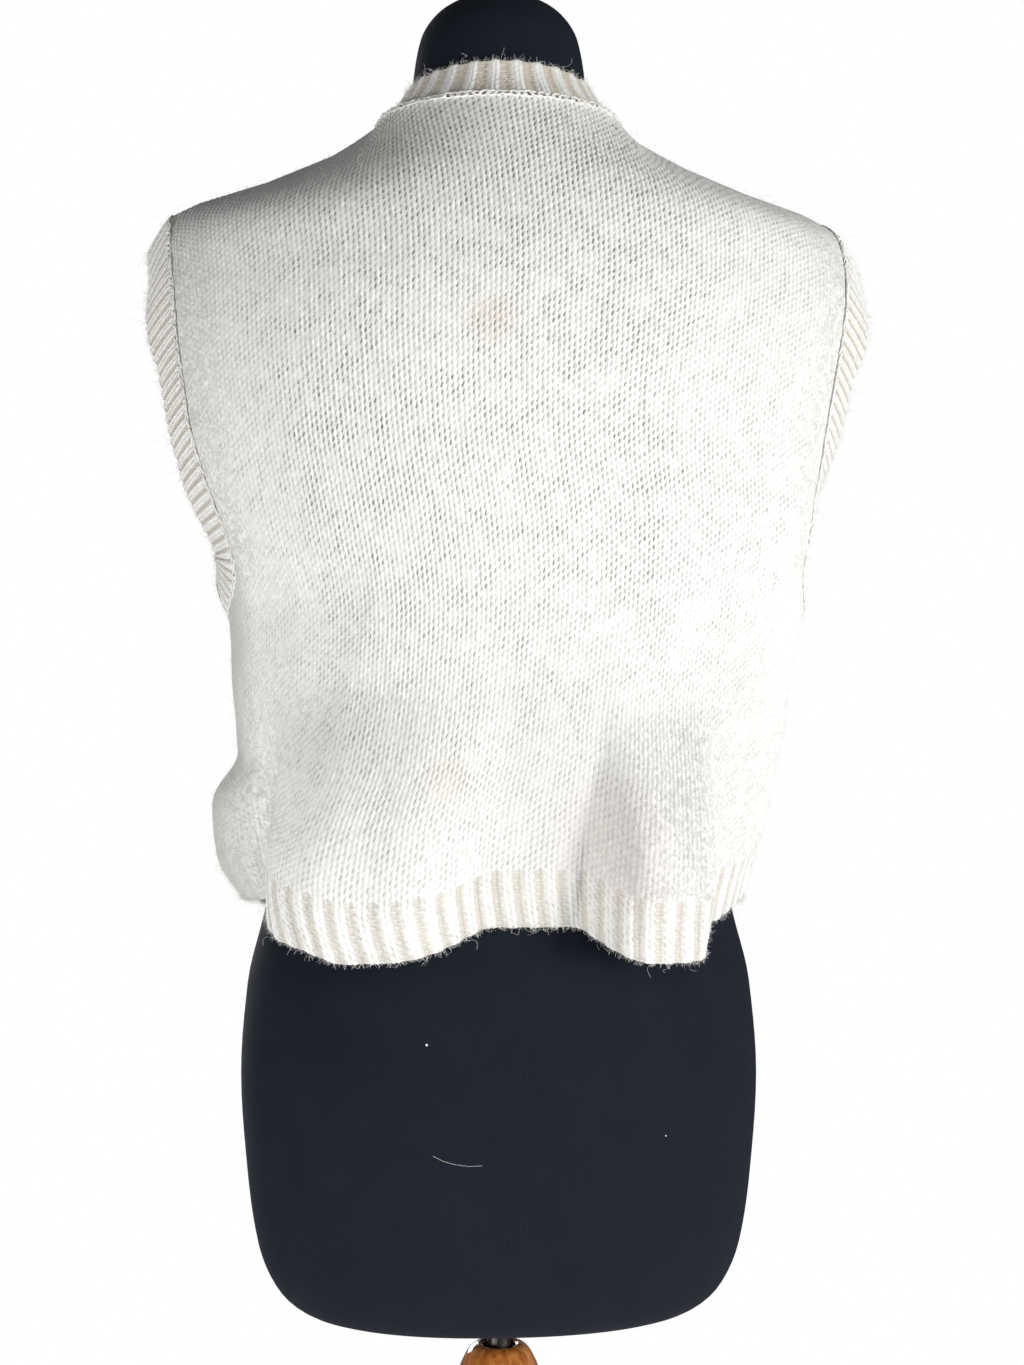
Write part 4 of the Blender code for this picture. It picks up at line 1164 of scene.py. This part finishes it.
def makeSteel(name):
    material, tree, place = newMaterial(name)
    stretched = addNode(tree, "ShaderNodeMapping", {"Vector": place, "Scale": (1.0, 1.0, 0.03)}).outputs[0]
    drawn = noise(tree, stretched, 2200.0, 2.0, 0.6)
    worn = noise(tree, place, 90.0, 3.0, 0.6)
    patches = remap(tree, worn, 0.45, 0.75, 0.0, 0.6)
    colour = blendColour(tree, patches, (0.045, 0.042, 0.04), (0.16, 0.14, 0.12))
    amounts = {"Roughness": remap(tree, worn, 0.3, 0.8, 0.32, 0.55), "Metallic": 0.9}
    return finishMaterial(material, colour, drawn, 0.15, 0.0001, amounts)


varnished = makeWood("varnishedWood", (0.28, 0.070, 0.012), (0.52, 0.195, 0.045),
                     (0.70, 0.36, 0.13), 0.14, 1.0)
capWood = makeWood("capWood", (0.06, 0.045, 0.038), (0.13, 0.098, 0.078),
                   (0.20, 0.155, 0.125), 0.45, 0.15)
steel = makeSteel("darkSteel")
post = makeTurned("turnedPost", postProfile, 0.0, varnished, stand["stepsPerRow"])
cap = makeTurned("neckCap", capProfile, cloth["eye"] + torsoRows[-1][0], capWood, stand["stepsPerRow"])
baseProfile = [(0.0, 0.182), (0.003, 0.185)]            # its upper edge is rounded over
for step in range(5):
    angle = step / 4 * math.pi / 2
    baseProfile.append((0.016 + 0.010 * math.sin(angle), 0.175 + 0.010 * math.cos(angle)))
baseProfile.append((0.030, 0.1018))
standBase = makeTurned("standBase", baseProfile, 0.0, varnished, 2)
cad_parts["pole"].data.materials.clear()
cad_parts["pole"].data.materials.append(steel)
print("stand turned")

# ---- lint and a loose hair on the cover, each given by its place across and its height
lint = {
    "specks": [(0.049, 0.898, 0.0008), (-0.090, 0.842, 0.0005)],
    "hair": [(0.0455, 0.8350), (0.0400, 0.8322), (0.0335, 0.8303), (0.0250, 0.8292), (0.0175, 0.8296)],
    "hairThickness": 0.00012,
    "clear": 0.0003,        # how far it lies off the cover
}


def onCover(x, z):
    hit, place, n, _ = formTorso.ray_cast((x, 0.5, z), (0.0, -1.0, 0.0))
    return np.array(place) + np.array(n) * lint["clear"], np.array(n)


def makeLint(name):
    points = []
    faces = []
    for x, z, radius in lint["specks"]:
        centre, n = onCover(x, z)
        first = len(points)
        side = np.array([1.0, 0.0, 0.0])
        corners = [side, n * 0.6, -side, -n * 0.6, np.array([0.0, 0.0, 1.0]), np.array([0.0, 0.0, -1.0])]
        points += [centre + corner * radius for corner in corners]
        for i in range(4):
            a, b = first + i, first + (i + 1) % 4
            faces += [[a, b, first + 4], [b, a, first + 5]]
    path = [onCover(x, z) for x, z in lint["hair"]]
    first = len(points)
    for centre, n in path:
        for turn in range(3):
            angle = turn * 2 * math.pi / 3
            spoke = n * math.cos(angle) + np.array([0.0, 0.0, 1.0]) * math.sin(angle)
            points.append(centre + spoke * lint["hairThickness"])
    for i in range(len(path) - 1):
        for turn in range(3):
            a = first + 3 * i + turn
            b = first + 3 * i + (turn + 1) % 3
            faces.append([a, b, b + 3, a + 3])
    last = first + 3 * (len(path) - 1)
    faces += [[first + 2, first + 1, first], [last, last + 1, last + 2]]
    return makePiece(name, np.array(points), faces, None, linkYarn, {})


coverLint = makeLint("coverLint")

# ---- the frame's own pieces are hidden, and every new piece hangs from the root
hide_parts("back_panel")
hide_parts("front_panel")
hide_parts("hem_rib_back")
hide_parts("hem_rib_front")
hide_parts("neckband")
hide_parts("armband_left")
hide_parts("armband_right")
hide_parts("form_torso")
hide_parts("turned_post")
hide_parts("neck_cap")
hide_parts("stand_base")
for piece in [backPanel, frontPanel, coverLint] + strips + chains + fuzzPieces:
    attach(piece, "root")
for piece, slot in ((formTorso, "jersey"), (post, "varnished_wood"), (cap, "pale_wood"),
                    (standBase, "varnished_wood")):
    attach(piece, "root")

# ---- floor, light and camera
studio = {
    "floorRadius": 1.9,
    "floorLevel": -0.0005,
    "distance": 1.3,
    "turn": math.radians(4.0),
    "lens": 2080 / 1365 * 36.0,
    "shift": 13 / 1365,
}


def makeFloor():
    material, tree, place = newMaterial("paleFloor")
    colour = blendColour(tree, noise(tree, place, 3.0, 2.0), (0.84, 0.84, 0.84), (0.88, 0.88, 0.88))
    shader = tree.nodes["Principled BSDF"]
    tree.links.new(colour, shader.inputs["Base Color"])
    shader.inputs["Roughness"].default_value = 0.7
    points = circle(studio["floorRadius"], studio["floorLevel"], 96)
    floor = makePiece("floor", points, [list(range(96))], None, material, {})


def addLight(name, place, target, size, power):
    light = bpy.data.lights.new(name, "AREA")
    light.shape = "DISK"
    light.size = size
    light.energy = power
    lamp = bpy.data.objects.new(name, light)
    bpy.context.collection.objects.link(lamp)
    lamp.location = place
    lamp.rotation_euler = (Vector(target) - Vector(place)).to_track_quat("-Z", "Y").to_euler()


def makeWorld():
    world = bpy.data.worlds.new("studio")
    bpy.context.scene.world = world
    world.use_nodes = True
    tree = world.node_tree
    backdrop = tree.nodes["Background"]
    backdrop.inputs["Color"].default_value = (1.0, 1.0, 1.0, 1.0)
    seen = addNode(tree, "ShaderNodeLightPath").outputs["Is Camera Ray"]
    tree.links.new(remap(tree, seen, 0.0, 1.0, 0.08, 1.0, False), backdrop.inputs["Strength"])


makeFloor()
makeWorld()
addLight("keyRight", (-1.95, 1.40, 1.00), (0.0, 0.0, 1.1), 0.9, 55.0)
addLight("fillLeft", (1.28, 1.10, 0.42), (0.0, 0.0, 1.1), 0.6, 21.0)
addLight("nearCamera", (-0.20, 2.30, 2.00), (0.0, 0.0, 1.1), 0.9, 12.0)
addLight("front", (0.8, -2.2, 1.5), (0.0, 0.0, 1.0), 1.6, 44.0)

camera = bpy.data.objects.new("camera", bpy.data.cameras.new("camera"))
bpy.context.collection.objects.link(camera)
camera.location = (studio["distance"] * math.sin(studio["turn"]),
                   studio["distance"] * math.cos(studio["turn"]), cloth["eye"])
camera.rotation_euler = (math.radians(90.0), 0.0, math.pi - studio["turn"])
camera.data.lens = studio["lens"]
camera.data.sensor_width = 36.0
camera.data.shift_x = studio["shift"]
camera.data.clip_start = 0.05
bpy.context.scene.camera = camera
bpy.context.scene.view_settings.view_transform = "Standard"
